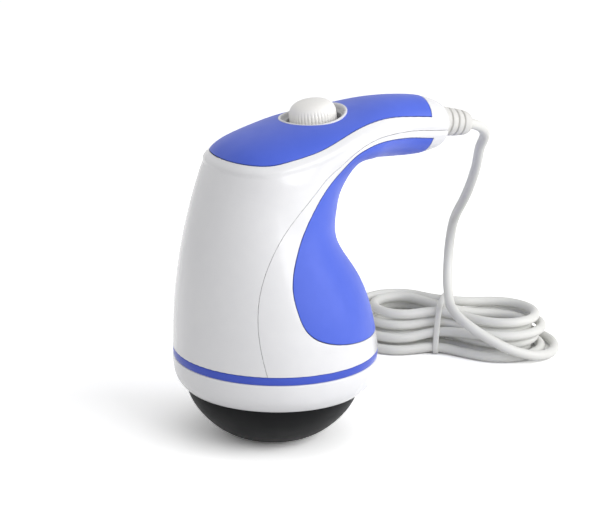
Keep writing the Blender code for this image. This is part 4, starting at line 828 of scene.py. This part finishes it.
# Strain relief: tapered sleeve with three grooves, in soft PVC that is duller than the casing
reliefSet = {"start": (0.1172, 0, 0.1922), "tilt": 9.2, "fillet": 0.0005, "segments": 96,
             "outline": [(0.0076, -0.0040), (0.0076, 0.0002), (0.0099, 0.0003), (0.0100, 0.0008),
                         (0.0096, 0.0067), (0.0076, 0.0070), (0.0076, 0.0079), (0.0093, 0.0082),
                         (0.0091, 0.0120), (0.0074, 0.0123), (0.0073, 0.0132), (0.0090, 0.0135),
                         (0.0087, 0.0171), (0.0071, 0.0174), (0.0070, 0.0183), (0.0085, 0.0186),
                         (0.0078, 0.0226), (0.0070, 0.0246), (0.0058, 0.0252), (0.0034, 0.0250)],
             "finish": {"colour": "#E2E1DE", "shade": "#DBDAD7", "roughness": 0.44, "peel": 0.05,
                        "peelSize": 1.25, "level": 0.3}}
turnedPiece("relief_sleeve", rounded(reliefSet["outline"], reliefSet["fillet"]), reliefSet["segments"],
            mouldedFinish("relief_soft_pvc", reliefSet["finish"]), "body", "strain_relief",
            reliefSet["start"], (90 + reliefSet["tilt"]) * deg)
print("stage: relief")

# Inner pieces and the plug keep their solids and take materials by slot: colour, shade, roughness and
# metallic of moulded plastics, bare and lacquered metals, sintered magnets and pressed carbon
innerSet = {
    "grey_nylon": ("#8F8F91", "#858587", 0.5, 0.0), "steel": ("#C0C1C4", "#B2B3B7", 0.3, 1.0),
    "core_steel": ("#7D7E80", "#6F7073", 0.45, 1.0), "copper": ("#C8774A", "#B5683E", 0.32, 1.0),
    "carbon": ("#2E2E2F", "#262627", 0.6, 0.0), "brass": ("#C9A35A", "#BB954E", 0.3, 1.0),
    "ferrite": ("#3A3A3C", "#323234", 0.6, 0.0), "green_board": ("#1F6B3A", "#1A5F33", 0.4, 0.0),
    "soft_pvc": ("#EDEDEC", "#E4E4E3", 0.42, 0.0), "red_pvc": ("#B3261E", "#A32019", 0.4, 0.0),
    "black_plastic": ("#1A1B1E", "#151619", 0.45, 0.0)}
innerPeel = {"peel": 0.06, "peelSize": 1.67}


def dressInner():
    made = {}
    for slot, (colour, shade, roughness, metal) in innerSet.items():
        look = {"colour": colour, "shade": shade, "roughness": roughness, "metal": metal, **innerPeel}
        made[slot] = mouldedFinish("inner_" + slot, look)
    for entry in frame["record"]["subparts"]:
        if entry["material_slot"] in made:
            data = frame["nodes"][entry["node"]].data
            data.materials.clear()
            data.materials.append(made[entry["material_slot"]])


dressInner()

# Floor, light and background. The world's strength grows by these shares towards the right of the view,
# away from it and up; the view is turned by so many degrees from the side.
stageSet = {"floor": "#D0D0D0", "floorSeen": 1.75, "floorReach": 4, "floorHeight": -0.0002,
            "floorRoughness": 0.9, "world": 0.68, "right": 0.02, "away": -0.10, "up": -0.24, "turn": 30}
lightSet = {"key_right": {"place": (0.55, -1.65, 0.95), "target": (0.02, 0, 0.12), "size": (1.4, 1.4),
                          "power": 15},
            "side_right": {"place": (1.30, -0.95, 0.70), "target": (0.02, 0, 0.12), "size": (0.6, 1.3),
                           "power": 8},
            "top_soft": {"place": (0.3, 0.1, 1.6), "target": (0.03, 0, 0.1), "size": (1.4, 1.4),
                         "power": 1}}


def plainRays(tree):
    # 1 for rays from the camera and for mirrored or clear ones, which show the white background too.
    path = addNode(tree, "ShaderNodeLightPath").outputs
    seen = addNode(tree, "ShaderNodeMath", {0: path["Is Camera Ray"], 1: path["Is Glossy Ray"]},
                   operation="MAXIMUM")
    return addNode(tree, "ShaderNodeMath", {0: seen.outputs[0], 1: path["Is Transmission Ray"]},
                   operation="MAXIMUM").outputs[0]


def makeFloor(s):
    # White paper. The camera sees it brighter, so that open paper is white; diffuse rays see it plain.
    mesh = bpy.data.meshes.new("floor")
    corners = [(x * s["floorReach"], y * s["floorReach"], s["floorHeight"])
               for x, y in ((-1, -1), (1, -1), (1, 1), (-1, 1))]
    mesh.from_pydata(corners, [], [(0, 1, 2, 3)])
    floor = bpy.data.objects.new("floor", mesh)
    bpy.context.scene.collection.objects.link(floor)
    made, tree, shader = newMaterial("floor_white_paper", Roughness=s["floorRoughness"],
                                     Specular_IOR_Level=0.0, Base_Color=linear(s["floor"]))
    seen = addNode(tree, "ShaderNodeBsdfDiffuse", {"Color": (s["floorSeen"],) * 3 + (1,)})
    pick = addNode(tree, "ShaderNodeMixShader", {0: plainRays(tree), 1: shader.outputs[0],
                                                 2: seen.outputs[0]})
    tree.links.new(pick.outputs[0], tree.nodes["Material Output"].inputs["Surface"])
    mesh.materials.append(made)


def makeStudio(s):
    # Light from all round, its strength the world's plus the ray's direction dotted with the lean.
    world = bpy.data.worlds.new("studio")
    bpy.context.scene.world = world
    world.use_nodes = True
    tree = world.node_tree
    back = tree.nodes["Background"]
    back.inputs["Color"].default_value = (1, 1, 1, 1)
    way = addNode(tree, "ShaderNodeTexCoord").outputs["Generated"]
    cosine, sine = math.cos(s["turn"] * deg), math.sin(s["turn"] * deg)
    lean = (cosine * s["right"] + sine * s["away"], -sine * s["right"] + cosine * s["away"], s["up"])
    tilt = addNode(tree, "ShaderNodeVectorMath", {0: way, 1: lean}, operation="DOT_PRODUCT")
    power = addNode(tree, "ShaderNodeMath", {0: tilt.outputs["Value"], 1: s["world"]}, operation="ADD")
    tree.links.new(power.outputs[0], back.inputs["Strength"])
    white = addNode(tree, "ShaderNodeBackground", {"Color": (1, 1, 1, 1), "Strength": 1.0})
    pick = addNode(tree, "ShaderNodeMixShader", {0: plainRays(tree), 1: back.outputs[0], 2: white.outputs[0]})
    tree.links.new(pick.outputs[0], tree.nodes["World Output"].inputs["Surface"])


def areaLight(name, s):
    data = bpy.data.lights.new(name, "AREA")
    data.shape = "RECTANGLE"
    data.size, data.size_y = s["size"]
    data.energy = s["power"]
    made = bpy.data.objects.new(name, data)
    way = Vector(s["target"]) - Vector(s["place"])
    made.matrix_world = Matrix.Translation(s["place"]) @ way.to_track_quat("-Z", "Y").to_matrix().to_4x4()
    bpy.context.scene.collection.objects.link(made)


makeFloor(stageSet)
makeStudio(stageSet)
for lightName, light in lightSet.items():
    areaLight(lightName, light)
bpy.context.scene.view_settings.view_transform = "Standard"
print("stage: light")
